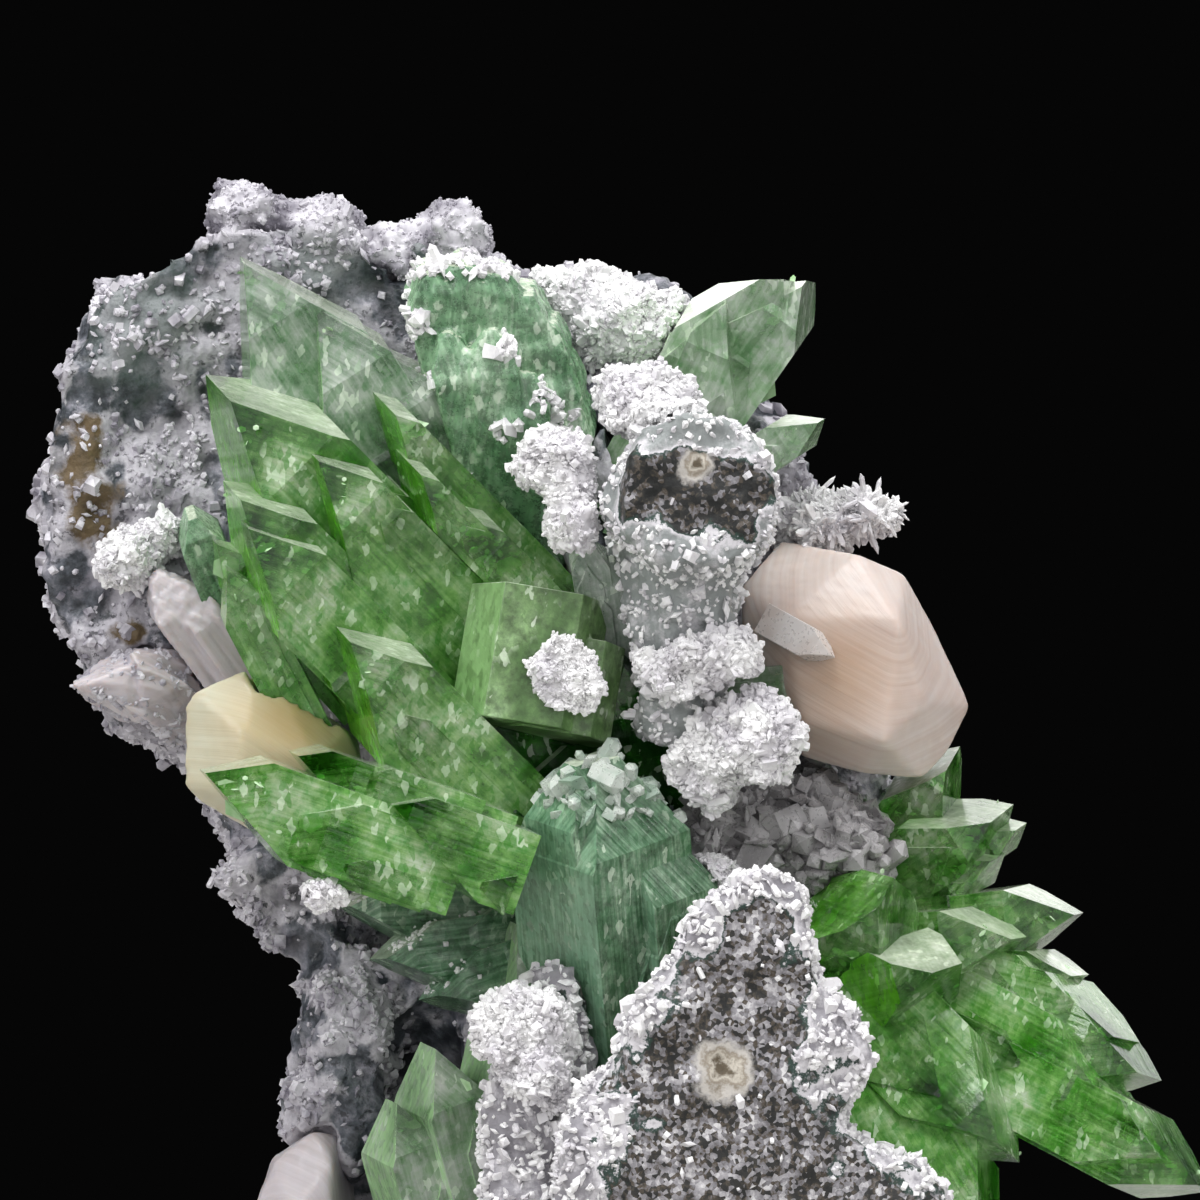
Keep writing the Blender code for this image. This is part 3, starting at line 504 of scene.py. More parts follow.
DRUSE_BUMPS = ((3.0, 0.9), (1.3, 0.5), (0.7, 0.3))
GREY_TUFTS = ("druse_crest", "druse_crest_knob")
# How many grains each patch has and how wide they are.
DRUSE = {
    "druse_crest": (1500, 0.34), "druse_crest_knob": (1200, 0.3), "druse_upper_right": (3600, 0.45),
    "druse_stalactite_cap": (2800, 0.45), "druse_stalactite_side": (1700, 0.42),
    "druse_centre_high": (1800, 0.5), "druse_centre_low": (2600, 0.52), "druse_right": (1500, 0.36),
    "druse_left": (1400, 0.45), "druse_front_tuft": (500, 0.42), "druse_on_block": (1100, 0.36),
    "druse_column_top": (2600, 0.5), "druse_ledge": (900, 0.42),
}
# How tall the grains are for their width, where they aren't the usual 1.25: needles at the right.
GRAIN_TALL = {"druse_crest": 1.0, "druse_crest_knob": 1.0, "druse_right": 3.4}
for seed, (node, (count, size)) in enumerate(DRUSE.items(), start=20):
    body = roughened(remeshed(cad_copy(node), 0.4, smooth=1), DRUSE_BUMPS, sink=0.4, seed=seed)
    look = rock_druse if node in GREY_TUFTS else white_druse
    tuft = grains_on(body, count, size, seed=seed, lean=0.7, tall=GRAIN_TALL.get(node, 1.25))
    placed(node + "_crystals", tuft, look, "druse_white")
    placed(node + "_body", body, look, "druse_white", node)


# Stilbite
# Pearly cream to peach sheaf crystals, made of thin plates grown side by side, so fine lines run
# along their length and the light goes a little way in.

AWAY = Vector((0.0, 1.0, 0.0))


def frame_of(axis, roll=0.0):
    """Turns local X, Y and Z to across, away from the viewer and along a crystal's axis."""
    along = Vector(axis).normalized()
    away = (AWAY - AWAY.dot(along) * along).normalized()
    turn = Matrix((away.cross(along), away, along)).transposed()
    return turn @ Matrix.Rotation(math.radians(roll), 3, "Z")


def lined(mesh, axis, width, rise):
    """Raises fine ridges along an axis, and gives the mesh a UV map in mm across and along it."""
    back = frame_of(axis).inverted()
    normals = [vert.normal.copy() for vert in mesh.vertices]
    for vert, normal in zip(mesh.vertices, normals):
        spot = back @ vert.co
        ridge = noise.fractal(Vector((spot.x / width, spot.y / width, spot.z / (20 * width))), 1.0, 2.0, 3)
        vert.co += normal * ridge * rise
    grain = mesh.uv_layers.new(name="along")
    for loop in mesh.loops:
        spot = back @ mesh.vertices[loop.vertex_index].co
        grain.data[loop.index].uv = (spot.x + spot.y, spot.z)
    return mesh


def pearly_stilbite(name, pale, warm, deep, heart, reach):
    """Stilbite, grown in sheaves: a silky pearly skin over peach and tan depths, with fine lines.

    heart is where its deep tone is strongest and reach how far that goes, in mm.
    """
    made, node = new_material(name)
    place = node("TexCoord")
    lines = node("Mapping", {"Vector": place.outputs["UV"], "Scale": (1 / 0.667, 1 / 16.7, 1.0)})
    fibre = node("TexNoise", {"Vector": lines, "Scale": 1.0, "Detail": 6.0})
    cloud = node("TexNoise", {"Vector": place.outputs["Object"], "Scale": 1 / (9.1 * MM), "Detail": 6.0})
    both = node("Math", {0: fibre, 1: cloud}, operation="ADD")
    share = node("MapRange", {"Value": both, "From Min": 0.65, "From Max": 1.4})
    away = node("VectorMath", {0: place.outputs["Object"], 1: Vector(heart) * MM}, operation="DISTANCE")
    near = node("MapRange",
                {"Value": away, "From Min": reach * MM, "From Max": reach * MM / 5, "To Max": 0.6})
    tone = node("Mix", {0: share, 6: pale, 7: warm}, data_type="RGBA")
    deeper = node("Mix", {0: near, 6: tone, 7: deep}, data_type="RGBA")
    bump = node("Bump", {"Height": both, "Strength": 0.25, "Distance": 0.3 * MM})
    surface = node("BsdfPrincipled", {
        "Base Color": deeper,
        "Roughness": 0.36,
        "IOR": 1.5,
        "Subsurface Weight": 0.6,
        "Subsurface Radius": (1.0, 0.75, 0.6),
        "Subsurface Scale": 1.5 * MM,
        "Coat Weight": 0.15,
        "Normal": bump,
    })
    node("OutputMaterial", {"Surface": surface})
    return made


peach = pearly_stilbite("peach stilbite", "#dfd5d0", "#c4aea4", "#c49c74", (23.8, -12.0, 68.2), 9.0)
cream = pearly_stilbite("cream stilbite", "#cfcdb9", "#bfb79c", "#cfa765", (-30.2, -14.0, 64.2), 9.0)
lilac = pearly_stilbite("lilac stilbite", "#d9d2d8", "#b5abad", "#a0948c", (-46.0, 0.0, 72.0), 3.0)
# Each sheaf's look, axis, mesh size, rounds of smoothing, and the width and rise of its ridges.
SHEAVES = (
    ("stilbite_right", peach, (0.88, -0.2, -0.42), 0.3, 24, 0.9, 0.03),
    ("stilbite_left", cream, (-0.5, -0.4, 0.75), 0.35, 10, 1.0, 0.03),
    ("stilbite_low_left", lilac, (-0.3, -0.2, 0.93), 0.4, 10, 1.6, 0.1),
    ("stilbite_pale_column", lilac, (-0.55, -0.3, 0.78), 0.28, 6, 0.6, 0.28),
    ("stilbite_grey_point", lilac, (-0.9, -0.2, 0.3), 0.3, 6, 1.2, 0.4),
)
for node, look, axis, voxel, rounding, width, rise in SHEAVES:
    sheaf = lined(remeshed(cad_copy(node), voxel, smooth=rounding), axis, width, rise)
    placed(node + "_sheaf", sheaf, look, "stilbite_cream", node)
sugar = roughened(remeshed(cad_copy("stilbite_grey_point"), 0.4), ((2.0, 0.4),), sink=0.3, seed=50)
sugar_grains = grains_on(sugar, 1300, 0.55, seed=51, tall=0.8)
placed("stilbite_grey_point_grains", sugar_grains, rock_druse, "druse_white")


# Apophyllite
# Square glassy crystals, clear green, grown in parallel so that their faces are stepped.
# Each group is one body; its blocks share a direction, and small steps stand on their faces.

PYRAMID_SLOPE = math.radians(60.4)
EDGE_WIDTH = 0.07
UP = Vector((0.0, 0.0, 1.0))


def slice_off(bm, point, normal):
    """Removes what lies beyond a plane and closes the cut with one face."""
    everything = bm.verts[:] + bm.edges[:] + bm.faces[:]
    bmesh.ops.bisect_plane(
        bm, geom=everything, dist=1e-5, plane_co=point, plane_no=normal, clear_outer=True
    )
    rim = [edge for edge in bm.edges if edge.is_boundary]
    if rim:
        bmesh.ops.holes_fill(bm, edges=rim, sides=0)


def crystal(tip, axis, length, right, left, front, back, ridge=0.0, roll=0.0, blunt=0.0):
    """A square prism with a four-sided roof, its UV map in mm across and along the crystal.

    It reaches right, left, front and back of its axis. ridge is how long its roof's top edge is, and
    blunt how much is broken off the tip.
    """
    bm = bmesh.new()
    bmesh.ops.create_cube(bm, size=1.0)
    bmesh.ops.scale(bm, vec=(right + left, front + back, length), verts=bm.verts)
    middle = Vector(((right - left) / 2, (back - front) / 2, -length / 2))
    bmesh.ops.translate(bm, vec=middle, verts=bm.verts)
    for across, away in ((1, 0), (-1, 0), (0, 1), (0, -1)):
        normal = Vector((across, away, 0)) * math.sin(PYRAMID_SLOPE) + UP * math.cos(PYRAMID_SLOPE)
        slice_off(bm, Vector((0, away * ridge / 2, 0)), normal)
    if blunt:
        slice_off(bm, -UP * blunt, UP)
    grain = bm.loops.layers.uv.new("along")
    for face in bm.faces:
        for loop in face.loops:
            spot = loop.vert.co
            loop[grain].uv = (spot.x + spot.y, spot.z)
    place = Matrix.Translation(tip) @ frame_of(axis, roll).to_4x4()
    bmesh.ops.transform(bm, matrix=place, verts=bm.verts)
    return mesh_from(bm)


def group(columns, rows, **shared):
    """Crystals of one group, one to a row of sizes; columns says what they are, in millimetres.

    A row gives a crystal's length along the shared axis, or the root that it points away from.
    """
    made = [dict(zip(columns.split(), row), **shared) for row in rows]
    for sizes in made:
        if "root" in sizes:
            sizes["axis"] = Vector(sizes["tip"]) - Vector(sizes.pop("root"))
            sizes["length"] = sizes["axis"].length
    return made


def steps_on(block, count, chance):
    """Thin blocks grown in parallel on a crystal's faces, a little proud of them and shorter."""
    roll = block.get("roll", 0.0)
    turn = frame_of(block["axis"], roll)
    wide = block["right"] + block["left"]
    deep = block["front"] + block["back"]
    steps = []
    for _ in range(count):
        proud = chance.uniform(0.12, 0.45)
        side = chance.uniform(-block["left"], block["right"])
        half = wide * chance.uniform(0.2, 0.45)
        right = min(side + half, block["right"] + proud)
        left = min(half - side, block["left"] + proud)
        middle = (right - left) / 2
        drop = chance.uniform(0.1, 0.35) * block["length"] + abs(middle) * math.tan(PYRAMID_SLOPE) * 0.8
        steps.append(dict(
            tip=Vector(block["tip"]) + turn @ Vector((middle, 0.0, -drop)),
            axis=block["axis"], roll=roll, length=(block["length"] - drop) * 0.8,
            right=(right + left) / 2, left=(right + left) / 2,
            front=block["front"] + proud, back=deep * chance.uniform(0.2, 0.5),
            ridge=2 * block["front"] * chance.uniform(0.7, 1.0),
        ))
    return steps


def united(meshes):
    """Closed meshes that overlap, made one closed mesh."""
    if len(meshes) == 1:
        return meshes[0]
    others = bpy.data.collections.new("others")
    for mesh in meshes[1:]:
        others.objects.link(bpy.data.objects.new("other", mesh))
    result = finished(meshes[0], [("BOOLEAN", {
        "operation": "UNION", "solver": "EXACT", "operand_type": "COLLECTION", "collection": others,
    })])
    for other in list(others.objects):
        bpy.data.objects.remove(other)
    return result


def mark_faces(mesh):
    """Stores how far each face looks up, for a painted top sheen, and left, for a painted green rim light.
    """
    normals = np.array([face.normal[:] for face in mesh.polygons])
    stored(mesh, "painted_top_sheen", ((normals[:, 2] - 0.7) / 0.15).clip(0.0, 1.0), "FACE")
    stored(mesh, "rim", ((-normals[:, 0] - 0.5) / 0.3).clip(0.0, 1.0), "FACE")


def spray(name, blocks, look, slot="apophyllite_green", steps=1, seed=0, level_top=None):
    """A group of crystals as one glassy body, with steps on its faces and fine edges.

    level_top is the height at which the group is broken off level.
    """
    chance = random.Random(seed)
    every = list(blocks)
    for block in blocks:
        every += steps_on(block, steps, chance)
    body = united([crystal(**block) for block in every])
    if level_top:
        bm = bmesh.new()
        bm.from_mesh(body)
        slice_off(bm, UP * level_top, UP)
        body = mesh_from(bm)
    bevel = {"width": EDGE_WIDTH, "segments": 1, "limit_method": "ANGLE", "angle_limit": math.radians(25)}
    body = finished(body, [("BEVEL", bevel)])
    mark_faces(body)
    placed(name + "_crystals", body, look, slot, name)


def apophyllite(name, shades, body, density, root=0.6, tip=0.92, roughness=0.02, lines=0.12, streaks=0.25):
    """Apophyllite, grown: glassy with faint lines along it, clear at the tip and milky at the root.

    shades are the deep, middle and pale tones under its skin and the tone of the green rim light painted
    on faces that look left. body and density are how its depth takes up light, root and tip the share of
    light that goes in at its ends, lines how deep its growth lines are, and streaks how far its tones
    follow its length. Its faces that look up get a pale painted sheen, as if lit from above.
    """
    made, node = new_material(name)
    place = node("TexCoord")
    solid = place.outputs["Object"]
    painted_top_sheen, rim = (node("Attribute", attribute_name=name).outputs["Fac"] for name in ("painted_top_sheen", "rim"))
    cloud = node("TexNoise", {"Vector": solid, "Scale": 1 / (5.88 * MM), "Detail": 3.0})
    along = node("Mapping", {"Vector": place.outputs["UV"], "Scale": (1 / 0.417, 1 / 10, 1.0)})
    fine = node("TexNoise", {"Vector": along, "Scale": 1.0, "Detail": 4.0})
    flaws = node("TexNoise", {"Vector": solid, "Scale": 1 / (1.333 * MM), "Detail": 6.0, "Roughness": 0.75})
    sharp = node("MapRange", {"Value": flaws, "From Min": 0.36, "From Max": 0.66})
    slow = node("Mix", {0: streaks, 2: cloud, 3: fine})
    hue = node("ValToRGB", {"Fac": slow})
    toned(hue, (0.36, shades[0]), (0.5, shades[1]), (0.66, shades[2]))

    # Cleavage shards: some get a painted near-white glint, and others let the eye in to deeper tones.
    tilted = node("Mapping", {"Vector": solid, "Rotation": (0.5, 0.6, 0.3), "Scale": (1.0, 1.0, 0.55)})
    shards = node("TexVoronoi", {"Vector": tilted, "Scale": 1 / (0.588 * MM)}, distance="CHEBYCHEV")
    pick = node("SeparateColor", {"Color": shards.outputs["Color"]})
    # Painted glints: near-white (#eef8e6) shards where the cloud is high, standing for light caught inside.
    glint = node("Math", {0: cloud, 1: 0.5, 2: pick.outputs[0]}, operation="MULTIPLY_ADD")
    broken = node("MapRange", {"Value": glint, "From Min": 1.16, "From Max": 1.24, "To Max": 0.5})
    shadow = node("MapRange", {"Value": pick.outputs[1], "From Min": 0.7, "From Max": 0.9, "To Max": 0.55})
    # Painted rim light: faces that look left turn bright green, in patches, and let less light in.
    rim_light_patches = node("MapRange", {"Value": pick.outputs[2], "To Min": 0.3})
    glow = node("Math", {0: rim, 1: rim_light_patches}, operation="MULTIPLY")
    # Painted sheen: faces that look up turn pale, as if lit from above, and let less light in.
    top_sheen_share = node("Math", {0: painted_top_sheen, 1: 0.85}, operation="MULTIPLY")
    pale = node("Mix", {0: sharp, 6: "#bdcab0", 7: "#eaf1e0"}, data_type="RGBA")
    tone = node("Mix", {0: 0.5, 6: hue, 7: sharp}, data_type="RGBA", blend_type="OVERLAY")
    for share, over in ((shadow, shades[0]), (broken, "#eef8e6"), (glow, shades[3]), (top_sheen_share, pale)):
        tone = node("Mix", {0: share, 6: tone, 7: over}, data_type="RGBA")

    # The share of light that goes in: most near the tip, less where the top sheen, the rim light and the
    # glints are painted.
    clear = node("SeparateXYZ", {"Vector": place.outputs["UV"]}).outputs["Y"]
    clear = node("MapRange",
                 {"Value": clear, "From Min": -12.0, "From Max": -1.0, "To Min": root, "To Max": tip})
    milky = node("Math", {0: slow, 1: -1.2, 2: 0.6}, operation="MULTIPLY_ADD")
    dulled = node("Math", {0: painted_top_sheen, 1: -0.4, 2: clear}, operation="MULTIPLY_ADD")
    mixed = node("Math", {0: dulled, 1: milky}, operation="ADD")
    less = node("Math", {0: glow, 1: -0.35, 2: mixed}, operation="MULTIPLY_ADD")
    through = node("Math", {0: broken, 1: -0.5, 2: less}, operation="MULTIPLY_ADD", use_clamp=True)
    gloss = node("MapRange", {
        "Value": flaws, "From Min": 0.4, "From Max": 0.7, "To Min": roughness, "To Max": roughness + 0.08
    })
    bump = node("Bump", {"Height": fine, "Strength": lines, "Distance": 0.4 * MM})
    surface = node("BsdfPrincipled", {
        "Base Color": tone,
        "Roughness": gloss,
        "IOR": 1.537,
        "Transmission Weight": through,
        "Normal": bump,
    })
    inside = node("VolumeAbsorption", {"Color": body, "Density": density})
    node("OutputMaterial", {"Surface": surface, "Volume": inside})
    return made


green = apophyllite("green apophyllite", ("#4aa828", "#92cf70", "#cfe8bf", "#7ade24"), "#aeec7c", 50.0,
                    root=0.5, tip=0.85)
pale_green = apophyllite("pale green apophyllite", ("#88ba88", "#bad3ba", "#eef6ec", "#94d87a"), "#caf0be",
                         30.0, root=0.5, tip=0.8)
deep_green = apophyllite("deep green apophyllite", ("#0b4c03", "#1c680e", "#3a8424", "#449e1c"), "#6cd040",
                         170.0, root=0.5, tip=0.6)
frosted = apophyllite("frosted apophyllite", ("#64966c", "#86ae88", "#bcd3ba", "#9cc39c"), "#b4e6ae", 60.0,
                      root=0.2, tip=0.25, roughness=0.25, lines=0.3, streaks=0.4)
cloudy = apophyllite("cloudy apophyllite", ("#5f8749", "#799b64", "#9dbb8c", "#8fb67b"), "#b4e298", 60.0,
                     root=0.2, tip=0.25, roughness=0.3, lines=0.1, streaks=0.0)
bright_green = apophyllite("bright green apophyllite", ("#a6d09e", "#d0e8cc", "#f4fbf0", "#b4e2a4"),
                           "#dcf6d6", 18.0, root=0.4, tip=0.65)
glassy = apophyllite("clear pale crystal", ("#b4c8b6", "#d9e4da", "#f6f8f5", "#e6ece4"), "#e8f4e8", 20.0,
                     root=0.35, tip=0.55, lines=0.4)
teal = apophyllite("teal apophyllite", ("#4a8556", "#7fa985", "#b7d0b6", "#8cb998"), "#8fd0a8", 60.0,
                   root=0.35, tip=0.45, roughness=0.16, lines=0.25, streaks=0.5)


def veils(name, blocks, count, seed):
    """Healed cracks inside clear crystals: thin flakes that follow their planes and catch the light."""
    chance = random.Random(seed)
    points = []
    for block in blocks:
        turn = frame_of(block["axis"], block.get("roll", 0.0))
        widest = max(block["left"], block["right"])
        for _ in range(count):
            drop = chance.uniform(1.5, block["length"] * 0.9)
            reach = min(1.0, drop / (math.tan(PYRAMID_SLOPE) * widest))
            spot = Vector((
                chance.uniform(-block["left"], block["right"]) * 0.86 * reach,
                chance.uniform(-block["front"], block["back"]) * 0.86,
                -drop,
            ))
            plane = chance.choice((Vector((1, 0, 0.1)), Vector((0, 1, 0.1)), Vector((0.6, 0.6, 0.3)), UP))
            lean = Vector([chance.gauss(0.0, 0.35) for _ in range(3)])
            turned = (turn @ (plane + lean)).to_track_quat("Z", "Y").to_euler()
            wide = chance.lognormvariate(-0.35, 0.6)
            size = (wide, wide * chance.uniform(0.3, 1.0), wide)
            points.append((Vector(block["tip"]) + turn @ spot, turned, size, 0))
    placed(name + "_veils", strewn(points, flake_tree), crack, "apophyllite_green")


flake = bmesh.new()
bmesh.ops.create_cone(flake, cap_ends=True, segments=6, radius1=0.5, radius2=0.38, depth=0.05)
flake_kinds = bpy.data.collections.new("flake shapes")
flake_kinds.objects.link(bpy.data.objects.new("flake", mesh_from(flake)))
flake_tree = scatter_tree(flake_kinds)


def healed_crack():
    """Trapped air and healed cracks, grown in: bright white-green films."""
    made, node = new_material("healed crack")
    place = node("TexCoord").outputs["Object"]
    cloud = node("TexNoise", {"Vector": place, "Scale": 1 / (1.11 * MM), "Detail": 3.0})
    tone = node("Mix", {0: cloud, 6: "#7fc468", 7: "#f2fbea"}, data_type="RGBA")
    surface = node("BsdfPrincipled", {"Base Color": tone, "Roughness": 0.2})
    node("OutputMaterial", {"Surface": surface})
    return made


crack = healed_crack()


# Left fan
# The big green crystal at the left: parallel blocks, each a terrace in front of the last.

FAN = group("tip length right left front back ridge", (
    ((-37.8, -11.0, 97.0), 54, 5.7, 11.5, 9.5, 8.0, 9.5),
    ((-28.6, -15.5, 90.6), 42, 3.0, 6.0, 6.5, 6.0, 6.5),
    ((-36.2, -17.0, 86.8), 42, 3.7, 7.0, 6.0, 7.0, 6.5),
    ((-34.8, -20.0, 83.4), 38, 3.6, 5.0, 5.0, 5.0, 3.0),
    ((-25.4, -21.0, 72.9), 26, 4.0, 6.5, 6.0, 7.0, 7.0),
    ((-22.2, -8.0, 96.3), 40, 1.2, 3.5, 8.0, 7.0, 14.0),
    ((-18.9, -15.0, 89.6), 32, 0.9, 3.0, 6.0, 6.0, 9.0),
    ((-14.0, -12.5, 85.0), 24, 1.6, 4.0, 6.0, 6.0, 8.0),
), axis=(-0.64, -0.42, 0.645))
FAN += group("tip root", (
    ((-38.2, -10.0, 81.8), (-24, -3, 66)),
    ((-36.9, -14.0, 79.2), (-27, -8, 60)),
), right=2.1, left=2.7, front=3, back=3, ridge=2.5)
spray("apophyllite_left_fan", FAN, green, seed=1)
veils("left_fan", FAN, 130, 1)


# Upper left blade
# The whitish green crystal that stands behind the fan.

UPPER_LEFT = group("tip length right left ridge", (
    ((-35.8, -1.0, 110.0), 44, 6.8, 7.0, 5),
    ((-28.5, -3.0, 105.5), 38, 4.0, 5.0, 4),
    ((-21.5, -2.0, 101.0), 32, 3.6, 5.0, 6),
), axis=(-0.52, -0.22, 0.83), front=6.0, back=5.0)
spray("apophyllite_upper_left", UPPER_LEFT, pale_green, seed=2)
veils("upper_left", UPPER_LEFT, 140, 2)


# Frosted dome
# Upright blades side by side that end along a round arc, frosted and ribbed.

DOME_TIPS = (
    (-17.5, 110.8), (-14.0, 111.6), (-10.6, 110.8), (-7.4, 108.8),
    (-5.0, 105.6), (-3.2, 101.6), (-2.0, 97.2),
)
DOME = group("tip root", [
    ((x, -5.0 + 0.5 * order, z), (-10.5 + 0.6 * order, 7.0, 76.0)) for order, (x, z) in enumerate(DOME_TIPS)
], right=2.4, left=2.6, front=4.5, back=4.5, ridge=5, blunt=1.6)
DOME += group("tip", (
    ((-15.5, -8.5, 103.5),), ((-11.0, -9.5, 104.0),), ((-7.0, -8.5, 99.5),),
), root=(-8.5, 3.0, 76.0), right=2.4, left=2.4, front=3, back=3, blunt=1.2)
DOME += group("tip root", [
    (((x + next_x) / 2, -6.6 + 0.5 * order, (z + next_z) / 2 - 1.0), (-10.3 + 0.6 * order, 6.0, 76.0))
    for order, ((x, z), (next_x, next_z)) in enumerate(zip(DOME_TIPS, DOME_TIPS[1:]))
], right=1.0, left=1.0, front=2.5, back=3, blunt=0.4)
ribbed = remeshed(united([crystal(**blade) for blade in DOME]), 0.34)
ribbed = lined(ribbed, (0.1, -0.3, 0.95), 0.9, 0.25)
mark_faces(ribbed)
crumbs = grains_on(ribbed, 420, 0.7, seed=7, tall=1.4, cover=np.array([
    1.0 if vert.co.y < -2.0 and (vert.co.z > 108.0 or noise.noise(vert.co / 4.0) > 0.25) else 0.0
    for vert in ribbed.vertices
]))
placed("apophyllite_frosted_dome_crumbs", crumbs, white_druse, "druse_white")
placed("apophyllite_frosted_dome_crystals", ribbed, frosted, "apophyllite_frosted",
       "apophyllite_frosted_dome")


# Front left crystal
# It lies almost level with its point to the left.

FRONT_LEFT = group("tip length right left front ridge", (
    ((-38.8, -25.0, 59.3), 24, 3.2, 5.8, 6, 5),
    ((-30.0, -22.0, 61.0), 22, 1.6, 6.5, 7, 8),
    ((-33.5, -26.5, 54.6), 20, 5.0, 2.6, 5, 3),
    ((-21.0, -24.0, 56.4), 14.6, 2.0, 6.2, 7, 12),
), axis=(-0.93, -0.16, 0.33), back=6)
spray("apophyllite_front_left", FRONT_LEFT, green, seed=4)
veils("front_left", FRONT_LEFT, 130, 4)


# Deep green middle
# Crystals between the fan, the block and the teal blade, dark because light has a long way in.

FROM_ROOT = "tip root right left front back ridge"
MIDDLE = group(FROM_ROOT, (
    ((-16.0, -13.0, 61.0), (8.0, 2.0, 62.0), 6, 6, 5, 6, 6),
    ((-12.0, -14.0, 55.5), (8.0, 0.0, 58.0), 5, 5, 4, 6, 6),
    ((2.0, -13.0, 71.0), (6.0, 4.0, 52.0), 6, 6, 5, 5, 5),
    ((9.0, -9.0, 69.0), (5.0, 4.0, 50.0), 4, 6, 5, 5, 4),
))
spray("apophyllite_centre", MIDDLE, deep_green, seed=5)
veils("centre", MIDDLE, 40, 5)


# Frosted block
# The square crystal that points at the viewer, stepped at its end.

BLOCK = group("tip front back right left blunt", (
    ((-6.4, -27.0, 71.2), 6.4, 7.0, 6.6, 7.2, 6.8),
    ((-3.4, -24.6, 68.6), 4.8, 4.8, 5.4, 8.0, 6.0),
), axis=(0.02, -0.94, 0.12), length=22, ridge=30)
spray("apophyllite_block", BLOCK, cloudy, "apophyllite_frosted", steps=0, seed=6)


# Small clear crystals
# Short striated ones beside the block and single ones that show between the druse patches.

SMALL = {
    "apophyllite_small_clear": group("tip root right left", (
        ((-1.5, -18.0, 82.6), (0.5, -10.0, 70.0), 1.9, 1.9),
        ((0.6, -17.0, 81.0), (2.0, -10.0, 70.0), 1.6, 1.8),
    ), front=2, back=2, blunt=1.2),
    "apophyllite_upper_right": group(FROM_ROOT, (
        ((20.8, -3.0, 108.2), (4.0, 7.0, 84.0), 3.2, 5.6, 6, 6, 8),
        ((19.0, -4.0, 110.6), (4.0, 7.0, 84.0), 3.4, 6.4, 5, 6, 9),
        ((13.0, -4.0, 106.6), (3.0, 6.0, 84.0), 5.4, 2.0, 6, 5, 7),
        ((9.0, -2.0, 103.0), (2.0, 6.0, 86.0), 3.0, 1.8, 4, 5, 6),
    )),
    "apophyllite_upper_right_small": group(FROM_ROOT, (
        ((22.0, -7.0, 93.8), (8.0, 1.0, 85.0), 1.8, 2.4, 3, 3, 2),
    )),
    "apophyllite_centre_chip": group(FROM_ROOT, (
        ((22.6, -11.0, 68.0), (12.0, -4.0, 67.0), 2, 2, 3, 3, 2),
    )),
}
UPPER_RIGHT_TOP = 107.8
for seed, (node, blocks) in enumerate(SMALL.items()):
    look = glassy if node == "apophyllite_small_clear" else bright_green
    top = UPPER_RIGHT_TOP if node == "apophyllite_upper_right" else None
    spray(node, blocks, look, seed=seed + 10, level_top=top)
    veils(node, blocks[:1], 80, seed + 10)


# Teal blade
# The long frosted crystal in the middle of the lower half, broken off at its top.

TEAL_BLADE = group("tip length right left front back blunt", (
    ((-0.4, -20.0, 63.0), 46, 6, 6.6, 6, 7, 2.6),
    ((-2.4, -21.0, 61.6), 36, 2.6, 4, 3.6, 5, 1.6),
    ((4.2, -18.0, 56.0), 36, 4.6, 3.6, 5, 5, 1.2),
), axis=(-0.08, -0.33, 0.93), roll=38)
TEAL_TOP = 54.5
spray("apophyllite_teal_blade", TEAL_BLADE, teal, "apophyllite_teal", seed=20)
broken_top = remeshed(cad_copy("apophyllite_teal_blade"), 0.5)
at_top = np.array([
    1.0 if vert.co.z > TEAL_TOP and vert.normal.z > -0.2 else 0.0 for vert in broken_top.vertices
])
chips = grains_on(broken_top, 90, 1.3, seed=52, tall=1.1, lean=0.7, cover=at_top)
chip_glass = quartz_druse("clear broken chips", "#eef6ee", "#a9c4b0", 0.35)
placed("apophyllite_teal_blade_chips", chips, chip_glass, "clear_crystal")


# Dark spray
# Dark teal striated crystals that fan to the left below the front left crystal.

DARK = group("tip root", (
    ((-25.5, -6.0, 45.6), (-2.0, 2.0, 46.0)),
    ((-22.0, -8.0, 40.4), (-2.0, 0.0, 43.0)),
    ((-17.0, -9.0, 36.6), (-3.0, -2.0, 41.0)),
), right=3.0, left=3.4, front=4, back=4, ridge=5)
spray("apophyllite_dark_spray", DARK, teal, "apophyllite_teal", steps=2, seed=21)
frosting = remeshed(cad_copy("apophyllite_dark_spray"), 0.5)
upper = np.array([
    max(0.0, vert.normal.z) * (noise.noise(vert.co / 3.0) > 0.0) for vert in frosting.vertices
])
coat = grains_on(frosting, 900, 0.35, seed=53, tall=0.7, cover=upper + 1e-6)
placed("apophyllite_dark_spray_coat", coat, white_druse, "druse_white")


# Lower left crystal
# The leaning crystal at the bottom left, seen behind the druzy column.

LOWER_LEFT = group("tip length right left front ridge", (
    ((-8.5, -9.0, 44.0), 40, 3.4, 8.0, 6, 2),
    ((-17.0, -12.0, 32.0), 28, 5.0, 3.4, 5, 4),
    ((-20.6, -12.0, 26.5), 20, 4.0, 3.0, 4, 3),
), axis=(-0.25, -0.25, 0.93), roll=20, back=5)
spray("apophyllite_lower_left", LOWER_LEFT, bright_green, steps=2, seed=22)
veils("lower_left", LOWER_LEFT, 110, 22)


# Right spray
# Crystals that fan out to the right from one root: pale tips above, long rounded ones below.

